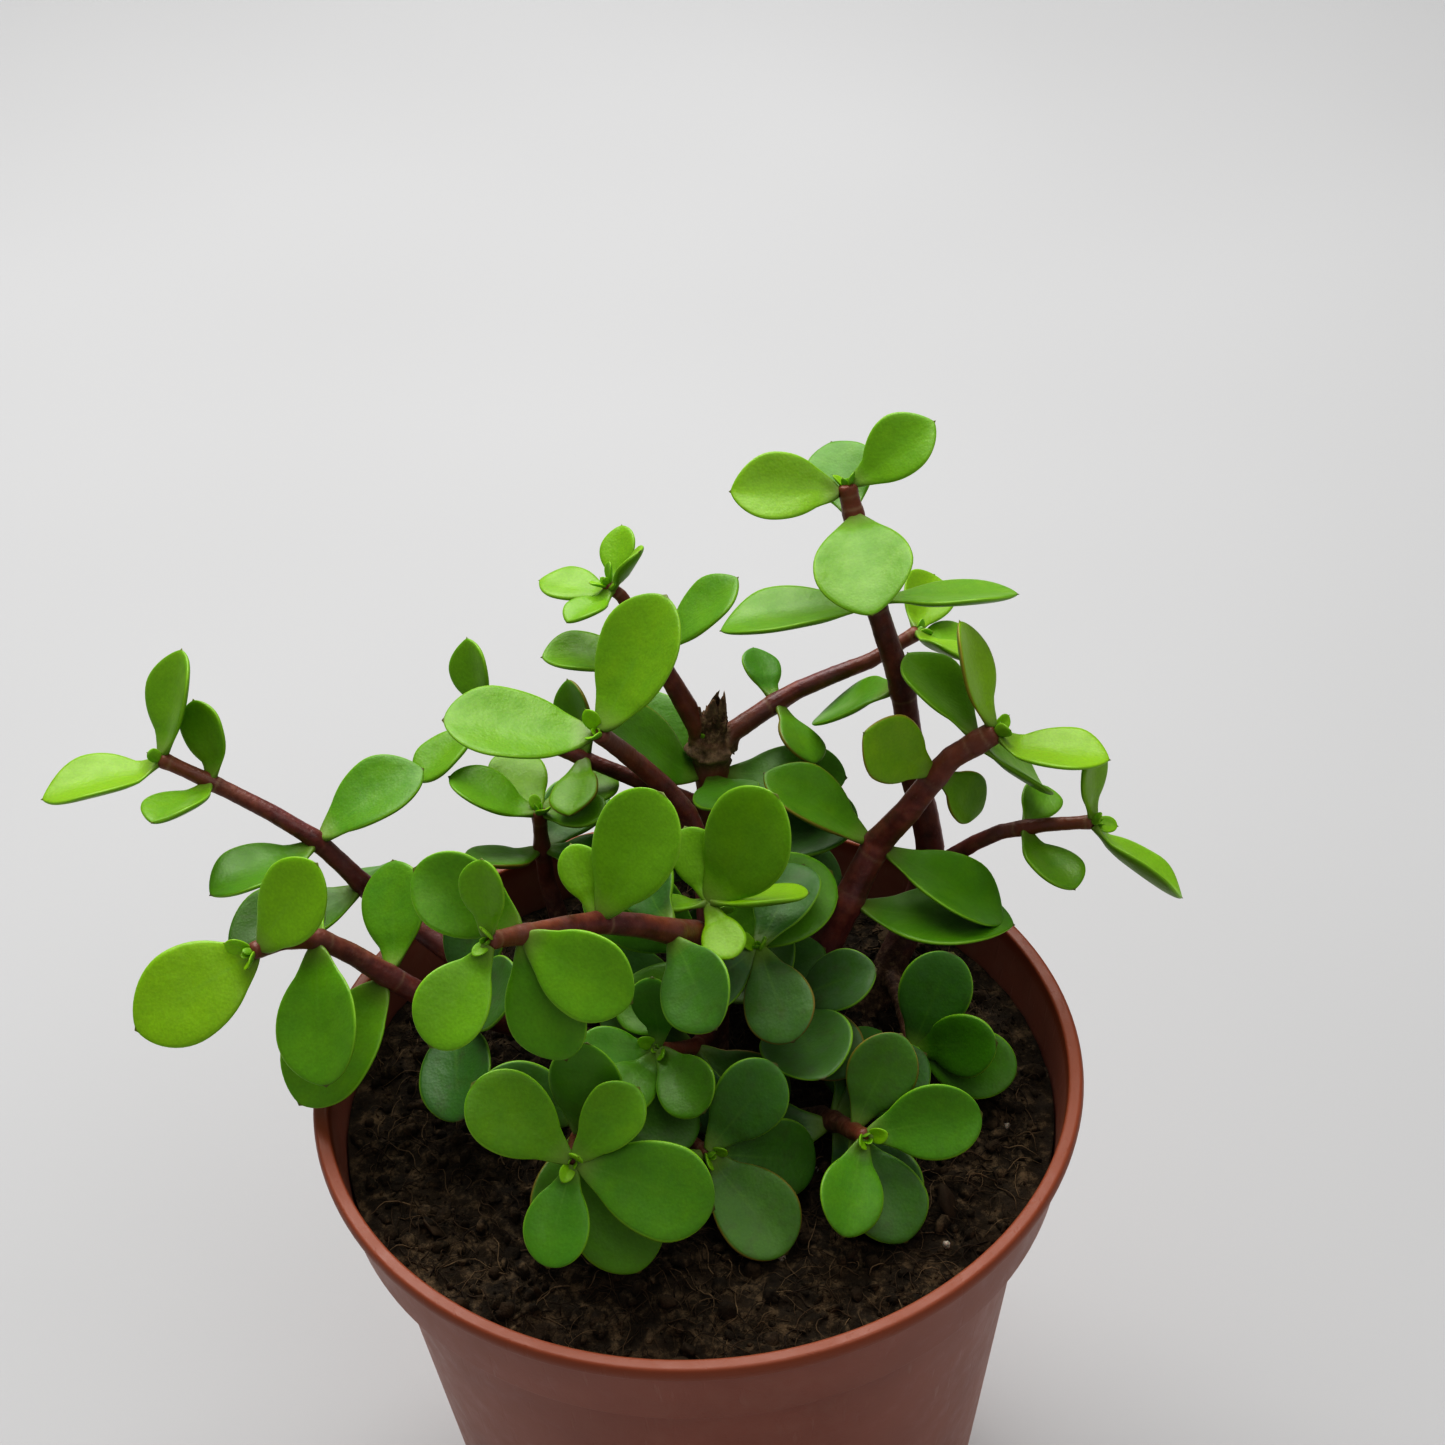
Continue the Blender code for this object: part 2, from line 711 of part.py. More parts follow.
def add_collar(name, node, collection, material):
    """The ring that joins a node's leaves round the stem."""
    place, forward, radius = node
    hole = (radius + COLLAR_GAP) / math.cos(math.pi / 6)
    bpy.ops.mesh.primitive_torus_add(
        major_segments=6, minor_segments=4, major_radius=hole + NODE_RING, minor_radius=NODE_RING
    )
    collar = bpy.context.active_object
    collar.name = collar.data.name = name
    for holder in list(collar.users_collection):
        holder.objects.unlink(collar)
    collection.objects.link(collar)
    lean = UP.rotation_difference(forward).to_matrix().to_4x4()
    collar.data.transform(Matrix.Translation(place) @ lean)
    collar.data.materials.append(material)
    collar.data.shade_smooth()
    return collar


def build_leaves(plans, space, plant, helpers):
    """Collars first, then each leaf in turn, clear of every piece that is in place."""
    materials = {"tip": new_material("tip_green"), "pair": new_material("leaf_green")}
    nodes = []
    for stem_name, cutting, shoots in plans:
        for shoot_name, plan in cutting["shoots"].items():
            for name, share, leaves in node_plans(shoot_name, plan):
                node = shoots[shoot_name].at(share)
                kind = "tip" if name.endswith("_leaves_1") else "pair"
                collar = add_collar(name, node, plant, materials[kind])
                space.add_mesh(name, collar.data)
                light = plan.get("light", SKY_LIGHT)
                nodes.append((stem_name, name, node, light, leaves, collar))
    choices = growth_choices(CROWDED_SIZES) + growth_choices(STUNTED_SIZES)
    for stem_name, name, node, light, leaves, collar in nodes:
        for number, leaf in enumerate(leaves, 1):
            form = grow_leaf(node, light, leaf, name, stem_name, space, choices)
            add_boolean(collar, add_mesh_object(f"{name}_{number}", form, helpers), "UNION")


def main():
    for item in list(bpy.data.objects):
        bpy.data.objects.remove(item)
    plant, helpers = new_collections()
    pot = build_pot(plant, helpers)
    soil = build_soil(plant)
    bark = new_material("stem_bark")
    space = Space()
    space.add_object("pot", pot)
    plans = []
    for name, cutting in CUTTINGS.items():
        shoots = plan_shoots(cutting)
        stem = build_cutting(name, shoots, soil, plant, helpers, bark)
        space.add_object(name, stem)
        plans.append((name, cutting, shoots))
    space.add_object("soil", soil)
    build_leaves(plans, space, plant, helpers)


if __name__ == "__main__":
    main()
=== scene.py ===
import math
import random

import bmesh
import bpy
import numpy as np
from mathutils import Euler, Matrix, Vector, noise
from mathutils.bvhtree import BVHTree


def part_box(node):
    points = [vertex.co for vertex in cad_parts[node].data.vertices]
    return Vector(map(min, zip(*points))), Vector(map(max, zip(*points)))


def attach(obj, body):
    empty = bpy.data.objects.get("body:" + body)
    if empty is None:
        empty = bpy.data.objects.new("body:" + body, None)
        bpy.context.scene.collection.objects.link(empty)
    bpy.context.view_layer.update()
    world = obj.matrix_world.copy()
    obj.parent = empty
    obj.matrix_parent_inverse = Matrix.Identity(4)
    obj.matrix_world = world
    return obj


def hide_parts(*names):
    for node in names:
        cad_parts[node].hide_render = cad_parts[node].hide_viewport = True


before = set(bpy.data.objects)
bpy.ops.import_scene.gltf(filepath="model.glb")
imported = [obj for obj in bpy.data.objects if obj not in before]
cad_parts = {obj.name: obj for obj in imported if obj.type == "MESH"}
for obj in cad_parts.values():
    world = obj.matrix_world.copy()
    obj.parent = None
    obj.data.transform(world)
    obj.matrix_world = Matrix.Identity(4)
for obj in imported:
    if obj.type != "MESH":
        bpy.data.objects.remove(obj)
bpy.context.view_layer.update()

mm = 0.001
up = Vector((0, 0, 1))


class Shader:
    # A Principled material and short calls that add and join its nodes.

    def __init__(self, name, **sockets):
        self.material = bpy.data.materials.new(name)
        self.material.use_nodes = True
        self.tree = self.material.node_tree
        self.surface = self.tree.nodes["Principled BSDF"]
        for socket, value in sockets.items():
            self.surface.inputs[socket.replace("_", " ")].default_value = value
        self.place = self.add("TexCoord").outputs["Object"]

    def add(self, kind, **settings):
        node = self.tree.nodes.new("ShaderNode" + kind)
        for setting, value in settings.items():
            setattr(node, setting, value)
        return node

    def join(self, value, socket):
        if isinstance(value, bpy.types.NodeSocket):
            self.tree.links.new(value, socket)
        else:
            socket.default_value = value

    def noise(self, size, detail=3.0, rough=0.55, vector=None, stretch=None):
        # Fades between 0 and 1 over about `size` metres.
        node = self.add("TexNoise")
        vector = vector or self.place
        if stretch:
            mapping = self.add("Mapping")
            self.join(vector, mapping.inputs["Vector"])
            mapping.inputs["Scale"].default_value = stretch
            vector = mapping.outputs["Vector"]
        self.join(vector, node.inputs["Vector"])
        node.inputs["Scale"].default_value = 1 / size
        node.inputs["Detail"].default_value = detail
        node.inputs["Roughness"].default_value = rough
        return node.outputs["Fac"]

    def cells(self, size, output="Distance"):
        node = self.add("TexVoronoi")
        self.join(self.place, node.inputs["Vector"])
        node.inputs["Scale"].default_value = 1 / size
        return node.outputs[output]

    def ramp(self, value, *stops):
        # A colour ramp, or with plain numbers for its stops a curve between them.
        node = self.add("ValToRGB")
        elements = node.color_ramp.elements
        while len(elements) < len(stops):
            elements.new(0.5)
        for element, (place, colour) in zip(elements, stops):
            element.position = place
            if isinstance(colour, (int, float)):
                colour = (colour, colour, colour)
            element.color = (*colour, 1)
        self.join(value, node.inputs["Fac"])
        return node.outputs["Color"]

    def mix(self, share, first, second, blend="MIX"):
        node = self.add("Mix", data_type="RGBA", blend_type=blend)
        self.join(share, node.inputs["Factor"])
        for socket, value in ((node.inputs[6], first), (node.inputs[7], second)):
            self.join((*value, 1) if isinstance(value, tuple) else value, socket)
        return node.outputs[2]

    def math(self, operation, *values, clamp=False):
        node = self.add("Math", operation=operation, use_clamp=clamp)
        for value, socket in zip(values, node.inputs):
            self.join(value, socket)
        return node.outputs[0]

    def attribute(self, name):
        # The three numbers that the mesh holds under this name.
        node = self.add("Attribute", attribute_name=name)
        parts = self.add("SeparateXYZ")
        self.join(node.outputs["Vector"], parts.inputs[0])
        return [parts.outputs[axis] for axis in "XYZ"]

    def bump(self, *layers):
        # Each layer is its height, 0 to 1, and how high that is in metres.
        normal = None
        for height, distance in layers:
            node = self.add("Bump")
            node.inputs["Distance"].default_value = distance
            self.join(height, node.inputs["Height"])
            if normal:
                self.join(normal, node.inputs["Normal"])
            normal = node.outputs["Normal"]
        self.join(normal, self.surface.inputs["Normal"])

    def finish(self, colour, roughness):
        self.join(colour, self.surface.inputs["Base Color"])
        self.join(roughness, self.surface.inputs["Roughness"])
        return self.material


def newPiece(name, points, faces, material, places=None):
    # One smooth piece on the root body, with what its shader reads as attributes.
    mesh = bpy.data.meshes.new(name)
    mesh.from_pydata([tuple(point) for point in points], [], faces)
    mesh.materials.append(material)
    for attributeName, values in (places or {}).items():
        attribute = mesh.attributes.new(attributeName, "FLOAT_VECTOR", "POINT")
        attribute.data.foreach_set("vector", np.asarray(values, np.float32).ravel())
    mesh.shade_smooth()
    mesh.validate()
    piece = bpy.data.objects.new(name, mesh)
    bpy.context.scene.collection.objects.link(piece)
    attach(piece, "root")
    return piece


def weldedForm(node):
    form = bmesh.new()
    form.from_mesh(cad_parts[node].data)
    bmesh.ops.remove_doubles(form, verts=form.verts, dist=0.002 * mm)
    return form


def ease(low, high, value):
    share = np.clip((value - low) / (high - low), 0, 1)
    return share * share * (3 - 2 * share)


def noiseAt(points, size, octaves=3):
    # Fractal noise of about -1 to 1 at each point.
    return np.array([noise.fractal(Vector(point) / size, 1.0, 2.0, octaves) for point in points])


def tubeFaces(rings, sides, pointed=True):
    # Faces of a closed tube from its rings of points, which ends in one more point or in a flat cap.
    faces = [tuple(reversed(range(sides)))]
    last = (rings - 1) * sides
    for corner in range(last):
        beyond = corner + 1 if (corner + 1) % sides else corner + 1 - sides
        faces.append((corner, beyond, beyond + sides, corner + sides))
    if pointed:
        return faces + [(last + side, last + (side + 1) % sides, last + sides) for side in range(sides)]
    return faces + [tuple(range(last, last + sides))]


class Heap:
    # Points and faces of many small shapes that end up in one piece.

    def __init__(self):
        self.points, self.faces, self.places = [], [], []

    def add(self, points, faces, places=(0, 0, 0)):
        # `places` is a list with one place for each point, or one place for them all.
        start = len(self.points)
        self.points.extend(points)
        self.faces.extend(tuple(start + corner for corner in face) for face in faces)
        self.places.extend(places if isinstance(places, list) else [places] * len(points))


stemNames = sorted(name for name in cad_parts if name.startswith("cutting_"))
leafNodes = sorted(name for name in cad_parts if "_leaves_" in name)


def flatRing(corners):
    # Centre, plane normal and flatness of a ring of points.
    points = np.array([vert.co for vert in corners])
    centre = points.mean(0)
    _, sizes, axes = np.linalg.svd(points - centre)
    return points, centre, axes[2], sizes[2]


def leafFrames(node):
    # Base, axes, length and width of each leaf of a CAD leaf node, from the rings at its tip.
    form = weldedForm(node)
    found = []
    for tip in form.verts:
        outer = [edge.other_vert(tip) for edge in tip.link_edges]
        if len(outer) != cadLeaf["ringCorners"]:
            continue
        inner = {edge.other_vert(vert) for vert in outer for edge in vert.link_edges}
        inner -= {*outer, tip}
        if len(inner) != cadLeaf["ringCorners"]:
            continue
        ring, centre, normal, flatness = flatRing(outer)
        innerRing, innerCentre, innerNormal, innerFlatness = flatRing(inner)
        if max(flatness, innerFlatness) > 0.01 * mm or abs(normal @ innerNormal) < 0.9999:
            continue
        spans = np.linalg.norm(ring[:, None] - ring[None], axis=2)
        widest = np.unravel_index(spans.argmax(), spans.shape)
        innerSpans = np.linalg.norm(innerRing[:, None] - innerRing[None], axis=2)
        if innerSpans.max() > cadLeaf["tipRatio"] * spans.max():
            continue  # the pole at a leaf's base
        along = normal if (centre - innerCentre) @ normal > 0 else -normal
        step = (centre - innerCentre) @ along
        length = step / (cadLeaf["outerRing"] - cadLeaf["innerRing"])
        across = ring[widest[0]] - ring[widest[1]]
        across /= np.linalg.norm(across)
        upper = np.cross(along, across)
        margins = (ring[widest[0]] + ring[widest[1]]) / 2
        if (margins - centre) @ upper < 0:
            upper, across = -upper, -across
        place = np.array(tip.co) - along * length - upper * (cadLeaf["bend"] * length)
        width = spans.max() / cadLeaf["outerWidth"]
        found.append({"place": place, "along": along, "across": across, "upper": upper,
                      "length": length, "width": width})
    form.free()
    return found


cadLeaf = {  # shares of a CAD leaf's length and width
    "ringCorners": 6,
    "outerRing": 0.9045,
    "innerRing": 0.6545,
    "outerWidth": 0.7221,
    "tipRatio": 1.7,
    "bend": 0.05,
}

stemTrees = {}
for stemName in stemNames:
    stemForm = weldedForm(stemName)
    stemTrees[stemName] = BVHTree.FromBMesh(stemForm)
    stemForm.free()


def nearestStem(point):
    reached = [(*stemTrees[name].find_nearest(Vector(point)), name) for name in stemNames]
    place, normal, _, _, name = min(reached, key=lambda hit: hit[3])
    return np.array(place), np.array(normal), name


leafPlans = {name: leafFrames(name) for name in leafNodes}
print("leaves read:", sum(len(plans) for plans in leafPlans.values()), "in", len(leafNodes), "nodes")

leafShape = {
    "stations": 28,
    "around": 24,
    "thickness": (1.3 * mm, 1.75 * mm),  # youngest and oldest
    "fullThickness": 9 * mm,  # shorter leaves are thinner
    "edge": 2.6,  # 2 is an ellipse across, more is plumper
    "widest": (0.56, 0.64),
    "wedge": (0.64, 0.82),
    "fullness": 1.05,
    "stalk": 0.8 * mm,
    "stalkShare": 0.13,  # of a short leaf's length
    "stalkDepth": 0.55 * mm,
    "nib": 0.25 * mm,
    "groove": 0.14 * mm,
    "round": {"tipPower": (0.5, 0.64), "crease": (0.1, 0.7), "cup": (0.04, 0.144)},
    "pointed": {"tipPower": (0.64, 0.82), "crease": (0.4, 1.0), "cup": (0.072, 0.168)},
    "bend": (-0.01, 0.12),
    "sway": 0.055,
    "twist": 0.2,
    "wave": (0.0075, 0.025),
    "lean": 0.05,
}

shootAgesAndShade = {  # from each shoot's tip down: 0 is just open, 1 is old; the numbers also hold painted light and shade, lower (lighter green) for leaves high up in the light and higher (darker green) for low and inner leaves in shade
    "tall": (0.26, 0.46, 0.36, 0.5),
    "side": (0.28, 0.42),
    "low_side": (0.62,),
    "right": (0.22, 0.3, 0.4, 0.45, 0.42),
    "inner_right": (0.78, 0.85),
    "back": (0.62, 0.75, 0.85),
    "back_right": (0.25, 0.45),
    "back_left": (0.2, 0.4),
    "rear_left": (0.3, 0.5),
    "reaching": (0.24, 0.4, 0.13, 0.72, 0.5, 0.8),
    "arching": (0.33,),
    "sprout": (0.12,),
    "heart": (0.55, 0.8),
    "upright": (0.35, 0.62),
    "near_left": (0.14, 0.3, 0.5, 0.75),
    "far_left": (0.3, 0.4, 0.5, 0.62),
    "low_left": (0.44, 0.5, 0.7),
    "low_front": (0.72,),
    "low_right": (0.5, 0.75, 0.8),
}
pointedShoots = {"tall", "side", "back_right", "back_left", "rear_left", "far_left", "right"}


def plump(wave):
    return np.sign(wave) * np.abs(wave) ** (2 / leafShape["edge"])


def outline(run, widest, wedge, tipPower):
    # Share of the leaf's full width at `run`, 0 at its base and 1 at its tip.
    if run < widest:
        return math.sin(math.pi / 2 * (run / widest) ** wedge)
    return (1 - ((run - widest) / (1 - widest)) ** 2) ** tipPower


def leafShell(plan, ageAndShade, rng, pointed=False):
    # Points, quads and shader places of one leaf, from inside the stem to its nib.
    look = leafShape
    habit = look["pointed" if pointed else "round"]
    length, width = plan["length"], plan["width"]
    place, along, across, upper = (np.array(plan[key]) for key in ("place", "along", "across", "upper"))
    root, outward, _ = nearestStem(place)
    inside = root - outward * look["stalkDepth"] - place
    offset = along * (inside @ along) + across * (inside @ across) + upper * (inside @ upper)
    stations, around = look["stations"], look["around"]
    turn = 2 * math.pi * np.arange(around) / around
    beside, lift = plump(np.cos(turn)), plump(np.sin(turn))
    widest, wedge = rng.uniform(*look["widest"]), rng.uniform(*look["wedge"])
    tipPower = rng.uniform(*habit["tipPower"])
    crease = rng.uniform(*habit["crease"])
    cup = rng.uniform(*habit["cup"])
    bend = rng.uniform(*look["bend"])
    stalkSize = min(look["stalk"], look["stalkShare"] * length)
    sway = rng.uniform(-1, 1) * look["sway"]
    twist = rng.uniform(-1, 1) * look["twist"]
    wave, phase = rng.uniform(*look["wave"]), rng.uniform(0, 6.3)
    lean = rng.uniform(-1, 1) * look["lean"]
    youngThick, oldThick = look["thickness"]
    thick = youngThick + (oldThick - youngThick) * ageAndShade
    thick *= min(1, length / look["fullThickness"]) ** 0.8
    points, places = [], []
    for station in range(stations):
        run = (1 - math.cos(math.pi * station / stations)) / 2
        wide = outline(run, widest, wedge, tipPower)
        stalk = 1 - float(ease(0.0, 0.2, run))
        half = math.hypot(wide * width / 2 * look["fullness"], stalkSize * stalk)
        deep = thick / 2 * math.sqrt(1 - run ** 9) * (1 - 0.2 * run) * float(ease(-0.15, 0.35, run))
        deep = max(deep, stalkSize * 0.75 * stalk)
        share = beside * wide
        rise = cup * ((1 - crease) * share ** 2 + crease * 0.8 * np.abs(share) ** 1.4)
        rise += wave * np.sin(phase + 5.5 * run + 1.2 * np.sign(beside)) * share ** 2 * run
        rise = rise * length + bend * length * run * run
        groove = look["groove"] * np.exp(-((beside / 0.13) ** 2)) * (1 - run) * float(ease(0.0, 0.2, run))
        side = beside * half * (1 + lean * np.sign(beside)) + sway * length * run * run
        height = lift * deep + rise - groove * np.clip(lift, -0.3, 1) + side * math.tan(twist * run)
        centre = place + offset * (1 - float(ease(0.0, 0.16, run))) + along * run * length
        points.extend(centre + np.outer(side, across) + np.outer(height, upper))
        places.extend((run, *spot) for spot in zip(beside, lift))
    tip = place + along * (length + look["nib"]) + across * sway * length + upper * bend * length
    tip = tip + upper * sway * length * math.tan(twist)
    points.append(tip)
    places.append((1.02, 0, 0))
    return points, tubeFaces(stations, around), places


def leafMaterial():
    leaf = Shader("fleshyLeaf", Subsurface_Weight=0.15, Subsurface_Scale=0.0014, Specular_IOR_Level=0.4)
    leaf.surface.inputs["Subsurface Radius"].default_value = (0.5, 1.0, 0.05)
    ageAndShade, tone, bloom = leaf.attribute("leafTraits")
    run, beside, face = leaf.attribute("leafPlace")
    patches = leaf.noise(3.2 * mm, 4)
    shift = leaf.math("MULTIPLY", leaf.math("SUBTRACT", patches, 0.5), 0.2)
    # The age value also holds painted light and shade: lit leaves get a lighter green, shaded low and
    # inner leaves a darker green.
    agedAndShaded = leaf.math("ADD", ageAndShade, shift, clamp=True)
    colour = leaf.ramp(
        agedAndShaded,
        (0.0, (0.270, 0.520, 0.006)),
        (0.25, (0.205, 0.405, 0.008)),
        (0.5, (0.102, 0.280, 0.006)),
        (0.75, (0.062, 0.180, 0.012)),
        (1.0, (0.042, 0.115, 0.016)),
    )
    tint = leaf.ramp(tone, (0.0, (0.82, 0.92, 1.3)), (0.5, (1, 1, 1)), (1.0, (1.22, 1.08, 0.8)))
    colour = leaf.mix(1.0, colour, tint, "MULTIPLY")
    grain = leaf.ramp(leaf.noise(0.4 * mm, 3), (0.35, 0.93), (0.65, 1.06))
    colour = leaf.mix(1.0, colour, grain, "MULTIPLY")
    blotch = leaf.ramp(leaf.noise(2.4 * mm, 5, 0.62), (0.5, 0.0), (0.68, 1.0))
    blotch = leaf.math("MULTIPLY", blotch, leaf.ramp(ageAndShade, (0.4, 0.0), (0.95, 0.4)))
    colour = leaf.mix(blotch, colour, (0.075, 0.060, 0.028))
    under = leaf.math("MULTIPLY", leaf.math("LESS_THAN", face, -0.1), 0.4)
    colour = leaf.mix(under, colour, (0.115, 0.235, 0.045))
    waxy = leaf.math("MULTIPLY", bloom, leaf.ramp(leaf.noise(1.6 * mm, 4), (0.3, 0.35), (0.7, 1.0)))
    colour = leaf.mix(waxy, colour, (0.17, 0.25, 0.19))
    across = leaf.math("ABSOLUTE", beside)
    rib = leaf.math("MULTIPLY", leaf.ramp(across, (0.0, 0.25), (0.08, 0.0)),
                    leaf.ramp(run, (0.1, 1.0), (0.8, 0.0)))
    colour = leaf.mix(rib, colour, (0.20, 0.40, 0.05))
    # Painted rim light: a thin band at the leaf's margin is lightened green as if light shone through its
    # edge; leaves with tone over 0.82 get their own reddish edge there instead.
    paintedRimLightAndRedEdge = leaf.ramp(across, (0.93, 0.0), (0.985, 0.7))
    reddish = leaf.math("GREATER_THAN", tone, 0.82)
    edge = leaf.mix(reddish, (0.27, 0.50, 0.03), (0.30, 0.17, 0.03))
    colour = leaf.mix(paintedRimLightAndRedEdge, colour, edge)
    colour = leaf.mix(leaf.ramp(run, (0.02, 1.0), (0.13, 0.0)), colour, (0.18, 0.28, 0.045))
    colour = leaf.mix(leaf.ramp(run, (0.988, 0.0), (1.0, 0.75)), colour, (0.10, 0.055, 0.02))
    shine = leaf.ramp(patches, (0.3, 0.34), (0.7, 0.46))
    shine = leaf.math("ADD", shine, leaf.math("MULTIPLY", bloom, 0.3))
    leaf.bump((leaf.cells(0.42 * mm), 0.018 * mm), (leaf.noise(3.5 * mm, 2), 0.16 * mm))
    return leaf.finish(colour, shine)


leafSkin = leafMaterial()
nodeSpots = []  # place, stem name, shoot, number of each leaf node
for nodeName in leafNodes:
    shoot, number = nodeName.rsplit("_leaves_", 1)
    plans = leafPlans[nodeName]
    agesAndShade = shootAgesAndShade[shoot]
    # Each leaf's age also holds painted shade from the table above.
    ageAndShade = agesAndShade[min(int(number), len(agesAndShade)) - 1]
    rng = random.Random(nodeName)
    heap, traits, roots = Heap(), [], []
    usualLength = sum(plan["length"] for plan in plans) / len(plans)
    for plan in plans:
        outgrown = max(0.0, plan["length"] / usualLength - 1.3)  # an older leaf under a young pair
        leafAgeAndShade = min(1.0, max(0.0, ageAndShade + 0.6 * outgrown + rng.uniform(-0.07, 0.07)))
        heap.add(*leafShell(plan, leafAgeAndShade, rng, shoot in pointedShoots))
        bloom = max(0.0, leafAgeAndShade - 0.35) * rng.uniform(0.1, 1.0) ** 1.5 * 0.5
        traits.extend([(leafAgeAndShade, rng.random(), bloom)] * (len(heap.points) - len(traits)))
        roots.append(nearestStem(plan["place"]))
    piece = newPiece(f"{nodeName}_grown", heap.points, heap.faces, leafSkin,
                     {"leafPlace": heap.places, "leafTraits": traits})
    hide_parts(nodeName)
    middle = np.mean([root for root, _, _ in roots], axis=0)
    nodeSpots.append((middle, roots[0][2], shoot, int(number)))
print("leaves grown")

stemLook = {
    "voxel": 0.34 * mm,
    "smoothing": 7,
    "plump": 0.08 * mm,
    "swelling": (0.05 * mm, 0.26 * mm),
    "swellingLength": 1.5 * mm,
    "roughness": 0.07 * mm,
    "nodeReach": (4.5 * mm, 5.5 * mm),  # what gives a node's axis, and what swells with it
    "scarDrop": (0.9 * mm, 1.5 * mm),
    "scarWidth": 0.2 * mm,
    "youngReach": 16 * mm,
    "woodyHeight": 12 * mm,
    "budDepth": 0.4 * mm,
}

snagLook = {
    "width": (3.4 * mm, 4.6 * mm),  # what lies further from the cut stem's axis stays as it is
    "length": 4.4 * mm,
    "knotDepth": 6.2 * mm,
    "knotLength": 1.7 * mm,
    "knotBulge": (1.1 * mm, 0.9 * mm),  # even and rough
    "shards": 6,
    "shardRings": (0, 0.4, 0.72, 0.9),
    "shardSides": 6,
    "shardRoot": 2.2 * mm,
    "shardPlace": (0.9 * mm, 1.5 * mm),
    "shardLength": (3.0 * mm, 5.4 * mm),
    "shardWidth": (0.9 * mm, 1.4 * mm),
    "shardThickness": (0.22 * mm, 0.42 * mm),
    "shardLean": (-0.35, 0.15),
}


def bark():
    stem = Shader("maroonBark", Subsurface_Weight=0.04, Subsurface_Scale=0.0008, Specular_IOR_Level=0.42)
    young, scar, woody = stem.attribute("stemPlace")
    patches = stem.noise(2.6 * mm, 4)
    colour = stem.ramp(
        patches,
        (0.25, (0.080, 0.021, 0.020)),
        (0.5, (0.165, 0.042, 0.034)),
        (0.75, (0.270, 0.082, 0.052)),
    )
    colour = stem.mix(stem.ramp(young, (0.35, 0.0), (1.0, 0.6)), colour, (0.22, 0.075, 0.030))
    specks = stem.ramp(stem.noise(0.35 * mm, 3, 0.6), (0.58, 0.0), (0.7, 0.5))
    colour = stem.mix(specks, colour, (0.19, 0.095, 0.070))
    haze = stem.ramp(stem.noise(5 * mm, 2), (0.5, 0.0), (0.75, 0.35))
    colour = stem.mix(haze, colour, (0.17, 0.105, 0.125))
    wood = stem.ramp(
        stem.noise(1.0 * mm, 5, 0.7),
        (0.32, (0.024, 0.014, 0.008)),
        (0.5, (0.125, 0.078, 0.042)),
        (0.7, (0.38, 0.27, 0.16)),
    )
    colour = stem.mix(stem.math("MULTIPLY", woody, 0.9), colour, wood)
    colour = stem.mix(stem.math("MULTIPLY", scar, 0.6), colour, (0.34, 0.235, 0.145))
    shine = stem.ramp(patches, (0.3, 0.28), (0.7, 0.44))
    shine = stem.math("ADD", shine, stem.math("MULTIPLY", woody, 0.4))
    fine = stem.math("MULTIPLY", stem.noise(0.5 * mm, 4, 0.6), stem.math("ADD", woody, 0.35))
    stem.bump((fine, 0.16 * mm), (stem.noise(1.8 * mm, 3), 0.1 * mm))
    return stem.finish(colour, shine)


def remeshed(node):
    # The CAD stem as an even, smoothed mesh: its points and quads.
    form = weldedForm(node)
    mesh = bpy.data.meshes.new("stemCopy")
    form.to_mesh(mesh)
    form.free()
    helper = bpy.data.objects.new("stemCopy", mesh)
    bpy.context.scene.collection.objects.link(helper)
    remesh = helper.modifiers.new("even", "REMESH")
    remesh.mode = "VOXEL"
    remesh.voxel_size = stemLook["voxel"]
    smooth = helper.modifiers.new("smooth", "SMOOTH")
    smooth.factor = 0.5
    smooth.iterations = stemLook["smoothing"]
    evaluated = helper.evaluated_get(bpy.context.evaluated_depsgraph_get())
    made = bpy.data.meshes.new_from_object(evaluated)
    points = np.empty(len(made.vertices) * 3)
    made.vertices.foreach_get("co", points)
    normals = np.empty(len(made.vertices) * 3)
    made.vertex_normals.foreach_get("vector", normals)
    faces = [tuple(face.vertices) for face in made.polygons]
    bpy.data.objects.remove(helper)
    bpy.data.meshes.remove(made)
    return points.reshape(-1, 3), normals.reshape(-1, 3), faces


def cutEnd(node):
    # Middle and direction of the stem's widest flat end that points upwards.
    form = weldedForm(node)
    flats = {}
    for face in form.faces:
        if face.normal.z > 0.5:
            key = (*(round(part, 2) for part in face.normal), round(face.normal.dot(face.verts[0].co), 5))
            flats.setdefault(key, []).append(face)
    widest = max(flats.values(), key=lambda faces: sum(face.calc_area() for face in faces))
    area = sum(face.calc_area() for face in widest)
    middle = sum((face.calc_center_median() * face.calc_area() for face in widest), Vector()) / area
    direction = widest[0].normal.copy()
    form.free()
    return np.array(middle), np.array(direction)


